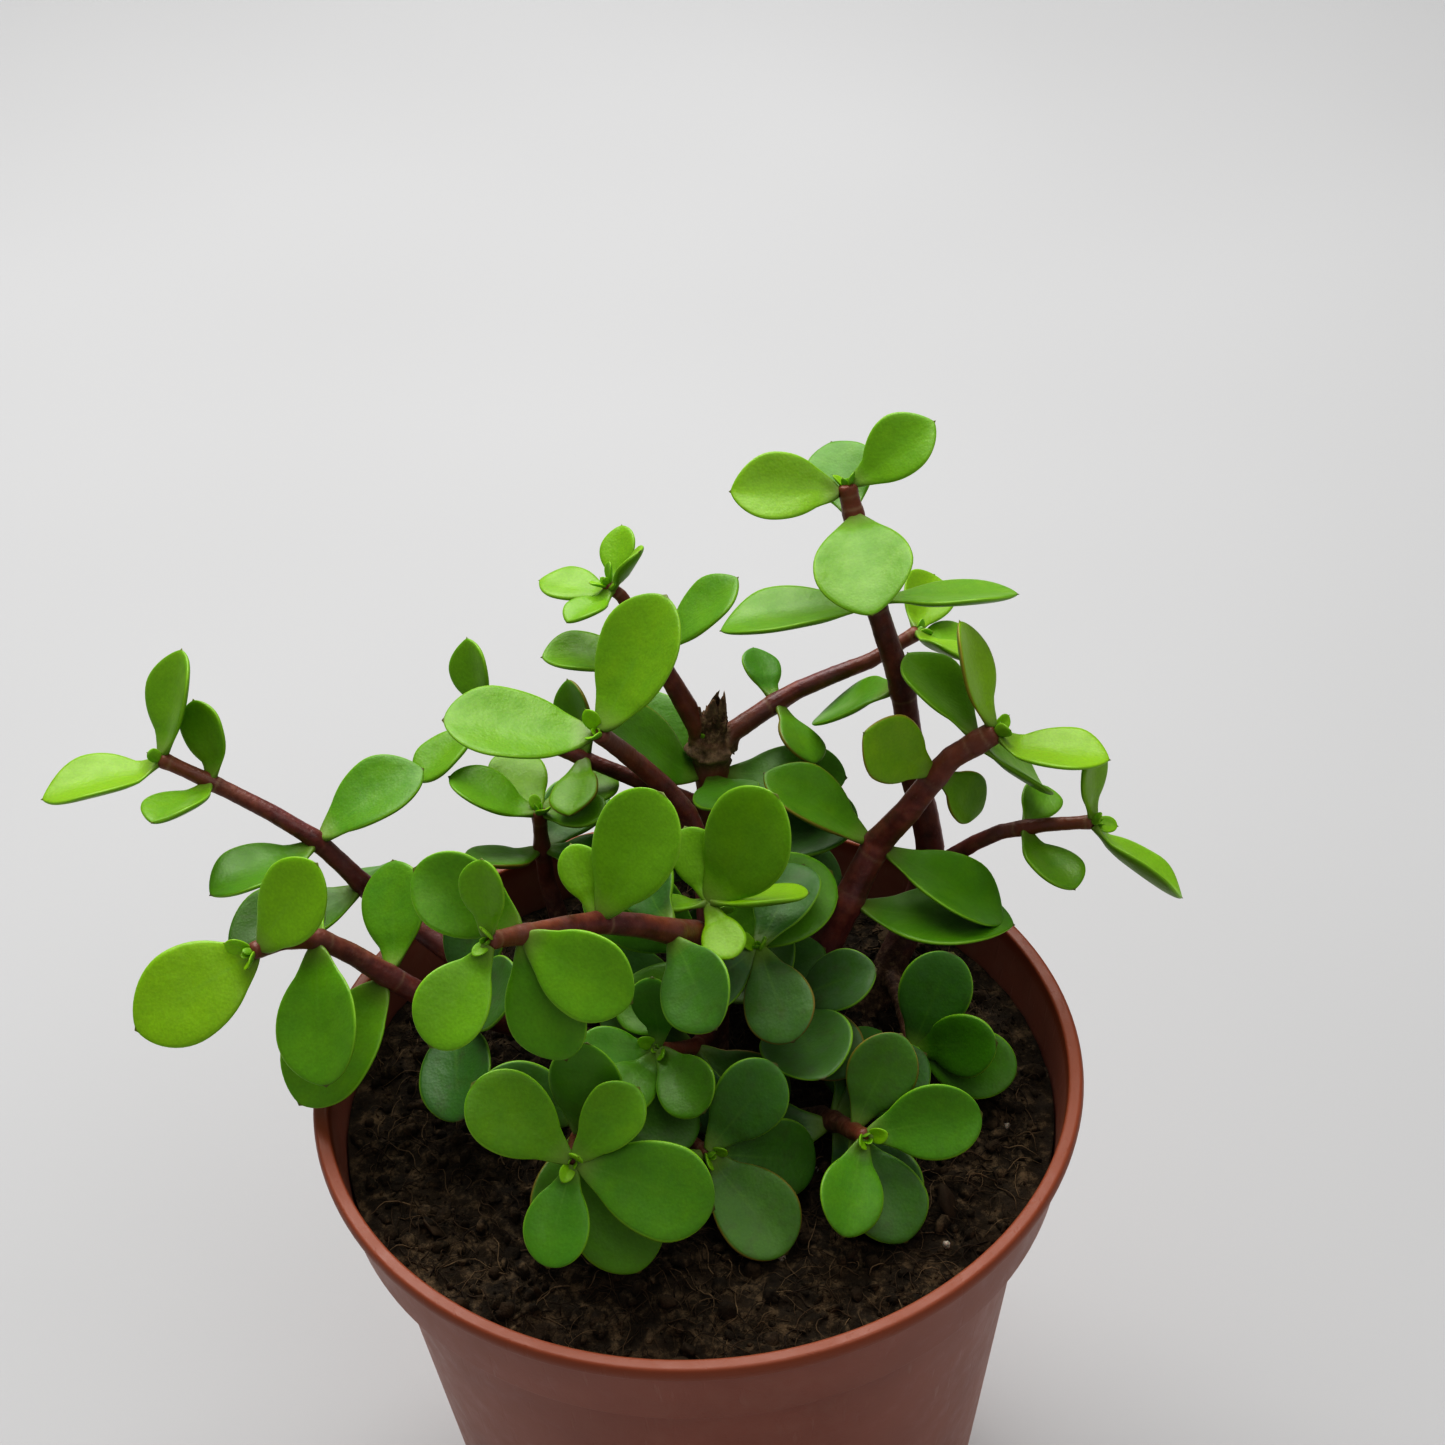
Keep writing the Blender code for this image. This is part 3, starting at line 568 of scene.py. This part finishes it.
def knotted(points, normals, end, direction):
    # The cut stem's dry snag and the corky knot under it: shifts, and how woody and pale each point is.
    look = snagLook
    gaps = points - end
    depth = -(gaps @ direction)
    beside = np.linalg.norm(gaps + np.outer(depth, direction), axis=1)
    close = 1 - ease(*look["width"], beside)
    grain = noiseAt(points, 1.3 * mm, 4)
    knot = np.exp(-(((depth - look["knotDepth"]) / look["knotLength"]) ** 2)) * close
    snag = (1 - ease(look["length"] * 0.8, look["length"] * 1.1, depth)) * close
    snag *= 1 - ease(2.3 * mm, 2.9 * mm, beside)
    evenBulge, roughBulge = look["knotBulge"]
    shift = normals * (knot * (evenBulge + roughBulge * grain))[:, None]
    shift += normals * (snag * (0.7 * mm * grain - 0.35 * mm))[:, None]
    ragged = (1 - ease(0.2 * mm, 1.4 * mm, depth)) * snag
    shift += np.outer(ragged * (1.6 * mm * noiseAt(points, 0.9 * mm, 2) - 0.5 * mm), direction)
    return shift, np.clip(1.3 * knot + 1.2 * snag, 0, 1), 0.6 * knot


def growSnag(end, direction):
    # Dry splinters that stand up from the cut end.
    look = snagLook
    rng = random.Random("snag")
    heap = Heap()
    aside = np.cross(direction, (0.0, 1.0, 0.0))
    aside /= np.linalg.norm(aside)
    beyond = np.cross(direction, aside)
    for number in range(look["shards"]):
        heading = 2 * math.pi * (number + rng.uniform(-0.3, 0.3)) / look["shards"]
        outward = aside * math.cos(heading) + beyond * math.sin(heading)
        tangent = np.cross(direction, outward)
        start = end + outward * rng.uniform(*look["shardPlace"]) - direction * look["shardRoot"]
        length, lean = rng.uniform(*look["shardLength"]), rng.uniform(*look["shardLean"])
        wide, thin = rng.uniform(*look["shardWidth"]), rng.uniform(*look["shardThickness"])
        points = []
        for share in look["shardRings"]:
            centre = start + direction * length * share + outward * lean * length * share * share
            for corner in range(look["shardSides"]):
                turn = 2 * math.pi * corner / look["shardSides"]
                reach = (1 - share ** 3) * rng.uniform(0.8, 1.15)
                side = tangent * math.cos(turn) * wide + outward * math.sin(turn) * thin
                points.append(centre + side * reach)
        points.append(start + direction * length + outward * lean * length)
        faces = tubeFaces(len(look["shardRings"]), look["shardSides"])
        heap.add(points, faces, (0, rng.uniform(0.2, 1.0), 1))
    newPiece("cutting_back_snag", heap.points, heap.faces, stemSkin,
             {"stemPlace": heap.places})


budLook = {
    "outer": (2.4 * mm, 3.8 * mm),
    "inner": (1.3 * mm, 2.0 * mm),
    "open": (28, 48),
    "shut": (8, 18),
    "width": 0.62,
}


def growBud(shoot, end, ahead):
    # Two pairs of leaflets that still stand together at the shoot's tip.
    rng = random.Random(shoot)
    heap, traits = Heap(), []
    first = np.cross(ahead, (0.3, 0.9, 0.2))
    first /= np.linalg.norm(first)
    second = np.cross(ahead, first)
    heading = rng.uniform(0, 3.1)
    for number in range(4):
        turn = heading + math.pi * number / 2
        side = first * math.cos(turn) + second * math.sin(turn)
        pair = number % 2
        angle = math.radians(rng.uniform(*budLook["shut" if pair else "open"]))
        length = rng.uniform(*budLook["inner" if pair else "outer"])
        along = math.cos(angle) * ahead + math.sin(angle) * side
        upper = math.sin(angle) * ahead - math.cos(angle) * side
        plan = {"place": end + side * 0.25 * mm, "along": along, "across": np.cross(upper, along),
                "upper": upper, "length": length, "width": length * budLook["width"]}
        ageAndShade = rng.uniform(0, 0.12)
        heap.add(*leafShell(plan, ageAndShade, rng))
        traits.extend([(ageAndShade, rng.random() * 0.7, 0)] * (len(heap.points) - len(traits)))
    newPiece(f"{shoot}_bud", heap.points, heap.faces, leafSkin,
             {"leafPlace": heap.places, "leafTraits": traits})


stemSkin = bark()
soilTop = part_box("soil")[1].z
snagEnd, snagDirection = cutEnd("cutting_back")
for stemName in stemNames:
    points, normals, faces = remeshed(stemName)
    rng = random.Random(stemName)
    scar = np.zeros(len(points))
    swell = np.full(len(points), stemLook["plump"])
    young = np.zeros(len(points))
    for place, owner, shoot, number in nodeSpots:
        if owner != stemName:
            continue
        distance = np.linalg.norm(points - place, axis=1)
        axisReach, swellReach = stemLook["nodeReach"]
        local = points[distance < axisReach]
        if len(local) < 12:
            continue
        centre = local.mean(0)
        axis = np.linalg.svd(local - centre)[2][0]
        if (place - centre) @ axis < 0:
            axis = -axis
        height = (points - place) @ axis
        close = distance < swellReach
        bulge = np.exp(-((height / stemLook["swellingLength"]) ** 2)) * close
        swell += rng.uniform(*stemLook["swelling"]) * bulge
        drop = rng.uniform(*stemLook["scarDrop"])
        ring = np.exp(-(((height + drop) / stemLook["scarWidth"]) ** 2)) * close
        scar = np.maximum(scar, ring * rng.uniform(0.2, 0.9))
        if number == 1:
            young = np.maximum(young, np.exp(-((distance / stemLook["youngReach"]) ** 2)))
            reach = height[distance < axisReach].max()
            growBud(shoot, centre + axis * ((place - centre) @ axis + reach - stemLook["budDepth"]), axis)
    woody = 1 - ease(0, stemLook["woodyHeight"], points[:, 2] - soilTop)
    woody = np.clip(woody + 0.25 * noiseAt(points, 6 * mm), 0, 1)
    if stemName == "cutting_back":
        shift, corky, pale = knotted(points, normals, snagEnd, snagDirection)
        points, woody, scar = points + shift, np.maximum(woody, corky), np.maximum(scar, pale)
        growSnag(snagEnd, snagDirection)
    rough = stemLook["roughness"] * (0.5 + woody) * noiseAt(points, 1.1 * mm)
    points = points + normals * (swell + rough)[:, None]
    piece = newPiece(f"{stemName}_bark", points, faces, stemSkin,
                     {"stemPlace": np.stack([young, scar, woody], 1)})
    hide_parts(stemName)
print("stems grown")

potLook = {
    "segments": 160,
    "fillet": 0.45 * mm,
    "filletSteps": 4,
    "holes": 6,
    "holeSides": 32,
    "cutterHeight": 12 * mm,
    "lipTintAndShade": (2.4 * mm, 1.2 * mm),  # where its redder, darker colour starts under the top, and its fade: partly the lip's own redder plastic, partly painted shade that dims its lit top
}


def potProfile():
    # The CAD pot's outline, read from the half plane at +X, from the floor's middle to the underside's.
    form = weldedForm("pot")
    onPlane = [vert for vert in form.verts if abs(vert.co.y) < 0.002 * mm and vert.co.x > -0.002 * mm]
    keep = set(onPlane)
    start = max((vert for vert in onPlane if vert.co.x < 0.002 * mm), key=lambda vert: vert.co.z)
    chain, seen = [start], {start}
    while True:
        ahead = [edge.other_vert(chain[-1]) for edge in chain[-1].link_edges]
        ahead = [vert for vert in ahead if vert in keep and vert not in seen]
        if not ahead:
            break
        ahead.sort(key=lambda vert: (vert.co - chain[-1].co).length)
        chain.append(ahead[0])
        seen.add(ahead[0])
    profile = [(vert.co.x, vert.co.z) for vert in chain]
    holes = {}
    low, high = 0.25 * profile[1][0], 0.85 * profile[1][0]
    for vert in form.verts:
        radius = math.hypot(vert.co.x, vert.co.y)
        if low < radius < high and abs(vert.co.z - profile[0][1]) < 0.01 * mm:
            turns = math.atan2(vert.co.y, vert.co.x) / (2 * math.pi)
            holes.setdefault(round(turns * potLook["holes"] - 0.5), []).append(vert.co.copy())
    form.free()
    centres = []
    for corners in holes.values():
        centre = sum(corners, Vector()) / len(corners)
        centres.append((centre, max((corner - centre).length for corner in corners)))
    return profile, centres


def filleted(profile):
    # The outline with each corner turned into a short arc.
    rounded = [profile[0]]
    for before, corner, after in zip(profile, profile[1:], profile[2:]):
        corner, before, after = Vector(corner), Vector(before), Vector(after)
        reach = min(potLook["fillet"], (before - corner).length * 0.45, (after - corner).length * 0.45)
        start = corner + (before - corner).normalized() * reach
        end = corner + (after - corner).normalized() * reach
        for step in range(potLook["filletSteps"] + 1):
            share = step / potLook["filletSteps"]
            middle = corner * 2 * share * (1 - share)
            rounded.append(tuple(start * (1 - share) ** 2 + middle + end * share * share))
    rounded.append(profile[-1])
    return rounded


def mouldedPlastic():
    pot = Shader("terracottaPlastic", Subsurface_Weight=0.04, Subsurface_Scale=0.001,
                 Specular_IOR_Level=0.45)
    broad = pot.noise(22 * mm, 3)
    haze = pot.noise(4 * mm, 5, 0.65)
    clouds = pot.ramp(broad, (0.35, 0.0), (0.65, 1.0))
    colour = pot.mix(clouds, (0.300, 0.108, 0.074), (0.350, 0.130, 0.090))
    dust = pot.ramp(haze, (0.45, 0.0), (0.75, 0.30))
    colour = pot.mix(dust, colour, (0.40, 0.225, 0.175))
    lines = pot.ramp(pot.noise(1.1 * mm, 2, 0.5, stretch=(1, 1, 0.09)), (0.62, 0.0), (0.70, 1.0))
    worn = pot.math("MULTIPLY", lines, pot.ramp(pot.noise(14 * mm, 2), (0.5, 0.0), (0.65, 0.4)))
    colour = pot.mix(worn, colour, (0.40, 0.22, 0.17))
    height = pot.add("SeparateXYZ")
    pot.join(pot.place, height.inputs[0])
    lipDepth, lipFade = potLook["lipTintAndShade"]
    above = pot.math("SUBTRACT", height.outputs["Z"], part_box("pot")[1].z - lipDepth)
    lipTintAndShade = pot.math("MULTIPLY", above, 1 / lipFade, clamp=True)
    # Painted shade: the top band is darkened and reddened, partly the lip's own colour and partly shade
    # painted over its lit top face.
    colour = pot.mix(pot.math("MULTIPLY", lipTintAndShade, 0.85), colour, (0.26, 0.062, 0.020))
    shine = pot.ramp(haze, (0.3, 0.36), (0.7, 0.52))
    pot.bump((haze, 0.05 * mm), (lines, -0.02 * mm), (pot.noise(0.4 * mm, 3), 0.015 * mm))
    return pot.finish(colour, shine)


def buildPot():
    profile, holes = potProfile()
    rounded = filleted(profile)
    segments = potLook["segments"]
    inner = rounded[1:-1]
    points, faces = [], []
    for number in range(segments):
        heading = 2 * math.pi * number / segments
        points.extend((x * math.cos(heading), x * math.sin(heading), z) for x, z in inner)
    rows = len(inner)
    for number in range(segments):
        here, there = number * rows, (number + 1) % segments * rows
        for row in range(rows - 1):
            faces.append((here + row, here + row + 1, there + row + 1, there + row))
    top, bottom = len(points), len(points) + 1
    points += [(0, 0, rounded[0][1]), (0, 0, rounded[-1][1])]
    for number in range(segments):
        here, there = number * rows, (number + 1) % segments * rows
        faces.append((top, here, there))
        faces.append((here + rows - 1, bottom, there + rows - 1))
    pot = newPiece("pot_moulded", points, faces, mouldedPlastic())
    form = bmesh.new()
    form.from_mesh(pot.data)
    bmesh.ops.recalc_face_normals(form, faces=form.faces)
    form.to_mesh(pot.data)
    form.free()
    for place, radius in holes:
        bpy.ops.mesh.primitive_cylinder_add(
            vertices=potLook["holeSides"], radius=radius, depth=potLook["cutterHeight"], location=place)
        cutter = bpy.context.active_object
        cut = pot.modifiers.new("drain", "BOOLEAN")
        cut.object = cutter
        bpy.context.view_layer.update()
        made = bpy.data.meshes.new_from_object(pot.evaluated_get(bpy.context.evaluated_depsgraph_get()))
        pot.modifiers.clear()
        old, pot.data = pot.data, made
        bpy.data.meshes.remove(old)
        bpy.data.objects.remove(cutter)
    pot.data.shade_smooth()
    pot.data.set_sharp_from_angle(angle=math.radians(50))
    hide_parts("pot")
    print("pot holes:", len(holes))


buildPot()
print("pot moulded")

soilLook = {
    "rings": 140,
    "segments": 380,
    "lumps": ((9 * mm, 0.9 * mm), (3.2 * mm, 1.0 * mm), (1.3 * mm, 0.6 * mm)),
    "sockets": 6 * mm,  # what lies this far under the top is a socket
    "crumbs": 2600,
    "crumbSize": (0.25 * mm, 1.3 * mm),  # the smallest, and how much the largest adds
    "fibres": 2300,
    "fibreLength": (1.5 * mm, 9 * mm),
    "fibreThickness": (0.03 * mm, 0.11 * mm),
    "fibreLift": (0.1 * mm, 1.6 * mm),
    "perlite": 10,
    "perliteSize": (0.35 * mm, 0.75 * mm),
    "chips": 22,
    "chipSize": (1.5 * mm, 3.2 * mm),
}


def peat():
    soil = Shader("peat", Specular_IOR_Level=0.3)
    tone, _, _ = soil.attribute("soilPlace")
    colour = soil.ramp(
        soil.noise(2.2 * mm, 6, 0.7),
        (0.3, (0.009, 0.006, 0.003)),
        (0.5, (0.034, 0.023, 0.012)),
        (0.66, (0.170, 0.118, 0.066)),
    )
    colour = soil.mix(soil.math("POWER", tone, 3.0), colour, (0.060, 0.038, 0.020))
    soil.bump((soil.noise(0.45 * mm, 5, 0.7), 0.35 * mm), (soil.noise(1.5 * mm, 4), 0.4 * mm))
    return soil.finish(colour, soil.ramp(soil.noise(3 * mm, 3), (0.35, 0.72), (0.65, 0.98)))


def fibreMaterial():
    fibre = Shader("peatFibre", Specular_IOR_Level=0.3)
    tone, _, _ = fibre.attribute("soilPlace")
    colour = fibre.ramp(
        tone,
        (0.0, (0.025, 0.016, 0.009)),
        (0.5, (0.110, 0.070, 0.036)),
        (1.0, (0.340, 0.235, 0.130)),
    )
    colour = fibre.mix(fibre.noise(1.5 * mm, 3), colour, (0.025, 0.015, 0.008))
    fibre.bump((fibre.noise(0.3 * mm, 3), 0.1 * mm))
    return fibre.finish(colour, 0.8)


def perliteMaterial():
    grain = Shader("perlite", Subsurface_Weight=0.2, Subsurface_Scale=0.0005)
    colour = grain.ramp(grain.noise(0.5 * mm, 4), (0.3, (0.30, 0.26, 0.20)), (0.7, (0.62, 0.57, 0.48)))
    grain.bump((grain.cells(0.25 * mm), 0.15 * mm))
    return grain.finish(colour, 0.75)


cadSoil = weldedForm("soil")
soilTree = BVHTree.FromBMesh(cadSoil)
soilRings = [(vert.co.z, math.hypot(vert.co.x, vert.co.y)) for vert in cadSoil.verts]
soilRadius = max(radius for height, radius in soilRings if height > soilTop - 12 * mm)
soilRadii = sorted({(round(height, 5), round(radius, 5)) for height, radius in soilRings})
cadSoil.free()


def cadSoilHeight(x, y):
    # The CAD mix's top without its sockets, from a ring of rays round each spot.
    hits = []
    for stepX, stepY in ((0, 0), (4 * mm, 0), (-4 * mm, 0), (0, 4 * mm), (0, -4 * mm)):
        place, _, _, _ = soilTree.ray_cast(Vector((x + stepX, y + stepY, 0.2)), -up)
        if place and place.z > soilTop - soilLook["sockets"]:
            hits.append(place.z)
    return sum(hits) / len(hits) if hits else soilTop - 3 * mm


def soilHeight(x, y):
    height = cadSoilHeight(x, y)
    rim = 1 - (math.hypot(x, y) / soilRadius) ** 8
    for size, amount in soilLook["lumps"]:
        height += amount * (0.35 + 0.65 * rim) * noise.noise(Vector((x / size, y / size, size * 900)))
    return height


def buildSoil():
    rings, segments = soilLook["rings"], soilLook["segments"]
    points, faces = [(0, 0, soilHeight(0, 0))], []
    for ring in range(1, rings + 1):
        radius = soilRadius * (ring / rings)
        for number in range(segments):
            heading = 2 * math.pi * number / segments
            x, y = radius * math.cos(heading), radius * math.sin(heading)
            points.append((x, y, soilHeight(x, y)))
    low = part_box("soil")[0].z
    bottom = [pair for pair in soilRadii if pair[0] < low + 0.05 * mm]
    sides = [pair for pair in soilRadii if low + 1 * mm < pair[0] < soilTop - 4 * mm and pair[1] > 30 * mm]
    byRadius = {"key": lambda pair: pair[1]}
    levels = [max(sides, **byRadius), min(sides, **byRadius), max(bottom, **byRadius)]
    for height, radius in levels:
        for number in range(segments):
            heading = 2 * math.pi * number / segments
            points.append((radius * math.cos(heading), radius * math.sin(heading), height))
    for number in range(segments):
        after = (number + 1) % segments
        faces.append((0, 1 + number, 1 + after))
    for ring in range(rings + len(levels) - 1):
        for number in range(segments):
            after = (number + 1) % segments
            here, there = 1 + ring * segments, 1 + (ring + 1) * segments
            faces.append((here + number, there + number, there + after, here + after))
    last = 1 + (rings + len(levels) - 1) * segments
    faces.append(tuple(last + segments - 1 - number for number in range(segments)))
    places = [(0.5 + 0.5 * noise.noise(Vector(point) / (5 * mm)), 0, 0) for point in points]
    soil = newPiece("potting_mix", points, faces, peat(), {"soilPlace": places})
    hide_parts("soil")


def lump(rng, size, squash=0.6, level=2):
    # A rough stone-like crumb about the origin.
    form = bmesh.new()
    bmesh.ops.create_icosphere(form, subdivisions=level, radius=1)
    shift = Vector((rng.uniform(0, 50), rng.uniform(0, 50), rng.uniform(0, 50)))
    scale = Vector((rng.uniform(0.7, 1.2), rng.uniform(0.6, 1.1), rng.uniform(0.4, 0.9) * squash / 0.6))
    turned = Euler([rng.uniform(0, 6.3) for _ in range(3)]).to_matrix()
    points = []
    for vert in form.verts:
        bulge = 1 + 0.45 * noise.noise(vert.co * 1.6 + shift) + 0.2 * noise.noise(vert.co * 4 + shift)
        stretched = Vector(part * factor for part, factor in zip(vert.co * bulge, scale))
        points.append(turned @ stretched * size)
    faces = [tuple(vert.index for vert in face.verts) for face in form.faces]
    form.free()
    return points, faces


def spotOnSoil(rng, edge=0.97):
    while True:
        x, y = rng.uniform(-1, 1), rng.uniform(-1, 1)
        if x * x + y * y < 1:
            return x * soilRadius * edge, y * soilRadius * edge


def scatterCrumbs():
    rng = random.Random("crumbs")
    heap = Heap()
    for number in range(soilLook["crumbs"]):
        smallest, more = soilLook["crumbSize"]
        size = smallest + more * rng.random() ** 4
        x, y = spotOnSoil(rng)
        points, faces = lump(rng, size, level=2 if size > 0.9 * mm else 1)
        base = Vector((x, y, soilHeight(x, y) + size * rng.uniform(-0.2, 0.35)))
        heap.add([base + point for point in points], faces, (rng.random(), 0, 0))
    newPiece("mix_crumbs", heap.points, heap.faces, bpy.data.materials["peat"],
             {"soilPlace": heap.places})


def strand(rng, x, y, length, thickness, sides=5, steps=9):
    # A thin curved fibre that lies on the mix and lifts a little off it.
    heading = rng.uniform(0, 6.3)
    curl = rng.uniform(-1.6, 1.6) / length
    lift = rng.uniform(*soilLook["fibreLift"])
    route = []
    for step in range(steps + 1):
        share = step / steps
        angle = heading + curl * share * length + 0.5 * math.sin(6 * share + heading)
        if route:
            x += math.cos(angle) * length / steps
            y += math.sin(angle) * length / steps
        if math.hypot(x, y) > soilRadius * 0.985:
            break
        height = soilHeight(x, y) + thickness + lift * math.sin(math.pi * share) * 0.7
        route.append(Vector((x, y, height)))
    if len(route) < 3:
        return None
    points = []
    for number, place in enumerate(route):
        ahead = route[min(number + 1, len(route) - 1)] - route[max(number - 1, 0)]
        side = ahead.cross(up).normalized()
        above = side.cross(ahead).normalized()
        girth = thickness * (1 - 0.6 * (number / (len(route) - 1)) ** 2)
        for corner in range(sides):
            turn = 2 * math.pi * corner / sides
            points.append(place + (side * math.cos(turn) + above * math.sin(turn)) * girth)
    return points, tubeFaces(len(route), sides, pointed=False)


def scatterFibres():
    rng = random.Random("fibres")
    heap = Heap()
    for number in range(soilLook["fibres"]):
        x, y = spotOnSoil(rng, 0.95)
        length, thickness = rng.uniform(*soilLook["fibreLength"]), rng.uniform(*soilLook["fibreThickness"])
        made = strand(rng, x, y, length, thickness)
        if made:
            heap.add(*made, (rng.random() ** 1.4, 0, 0))
    newPiece("mix_fibres", heap.points, heap.faces, fibreMaterial(),
             {"soilPlace": heap.places})


def scatterGrains():
    rng = random.Random("perlite")
    white, chips = Heap(), Heap()
    for number in range(soilLook["perlite"]):
        x, y = spotOnSoil(rng)
        size = rng.uniform(*soilLook["perliteSize"])
        points, faces = lump(rng, size, 0.8)
        base = Vector((x, y, soilHeight(x, y) + size * 0.4))
        white.add([base + point for point in points], faces)
    newPiece("mix_perlite", white.points, white.faces, perliteMaterial())
    for number in range(soilLook["chips"]):
        x, y = spotOnSoil(rng, 0.93)
        size = rng.uniform(*soilLook["chipSize"])
        points, faces = lump(rng, size, 0.22)
        base = Vector((x, y, soilHeight(x, y) + 0.5 * mm))
        chips.add([base + point for point in points], faces, (rng.uniform(0.2, 0.8), 0, 0))
    newPiece("mix_bark_chips", chips.points, chips.faces, bpy.data.materials["peatFibre"],
             {"soilPlace": chips.places})


buildSoil()
scatterCrumbs()
scatterFibres()
scatterGrains()
print("mix filled in")

studio = {
    "eye": (0.0, -0.254, 0.3475),
    "yaw": 1.34,
    "down": 37.7,
    "roll": -3.06,
    "lens": 65.0,
    "roomLight": 0.27,
    "floorSize": 30,
    "aim": (0, 0, 0.1),
    "window": {"place": (-0.1, 0.5, 0.85), "size": 0.9, "power": 8.0},
    "fill": {"place": (0.3, -0.35, 1.0), "size": 0.7, "power": 1.5},
}


def buildFloor():
    floor = Shader("paleTable", Specular_IOR_Level=0.25)
    shade = floor.noise(0.35, 2)
    colour = floor.ramp(shade, (0.3, (0.470, 0.469, 0.470)), (0.7, (0.500, 0.500, 0.502)))
    material = floor.finish(colour, 0.55)
    bpy.ops.mesh.primitive_grid_add(x_subdivisions=2, y_subdivisions=2, size=studio["floorSize"])
    table = bpy.context.active_object
    table.name = "table"
    table.data.materials.append(material)


def addLamp(name):
    look = studio[name]
    lamp = bpy.data.lights.new(name, "AREA")
    lamp.shape = "DISK"
    lamp.size = look["size"]
    lamp.energy = look["power"]
    holder = bpy.data.objects.new(name, lamp)
    holder.location = look["place"]
    aim = Vector(studio["aim"]) - Vector(look["place"])
    holder.rotation_euler = aim.to_track_quat("-Z", "Y").to_euler()
    bpy.context.scene.collection.objects.link(holder)


def addCamera():
    yaw, down, roll = (math.radians(studio[key]) for key in ("yaw", "down", "roll"))
    ahead = Vector((math.sin(yaw), math.cos(yaw), 0)) * math.cos(down) - up * math.sin(down)
    level = Vector((math.cos(yaw), -math.sin(yaw), 0))
    above = level.cross(ahead)
    right = level * math.cos(roll) + above * math.sin(roll)
    above = above * math.cos(roll) - level * math.sin(roll)
    camera = bpy.data.cameras.new("camera")
    camera.lens = studio["lens"]
    camera.sensor_width = 36
    camera.clip_start = 0.01
    holder = bpy.data.objects.new("camera", camera)
    holder.matrix_world = Matrix((right, above, -ahead)).transposed().to_4x4()
    holder.location = studio["eye"]
    bpy.context.scene.collection.objects.link(holder)
    bpy.context.scene.camera = holder


buildFloor()
world = bpy.data.worlds.new("softRoom")
world.use_nodes = True
world.node_tree.nodes["Background"].inputs["Color"].default_value = (1.0, 0.995, 0.985, 1)
world.node_tree.nodes["Background"].inputs["Strength"].default_value = studio["roomLight"]
bpy.context.scene.world = world
addLamp("window")
addLamp("fill")
addCamera()
print("studio lit")
bpy.context.scene.view_settings.view_transform = "Standard"
bpy.context.scene.view_settings.look = "High Contrast"
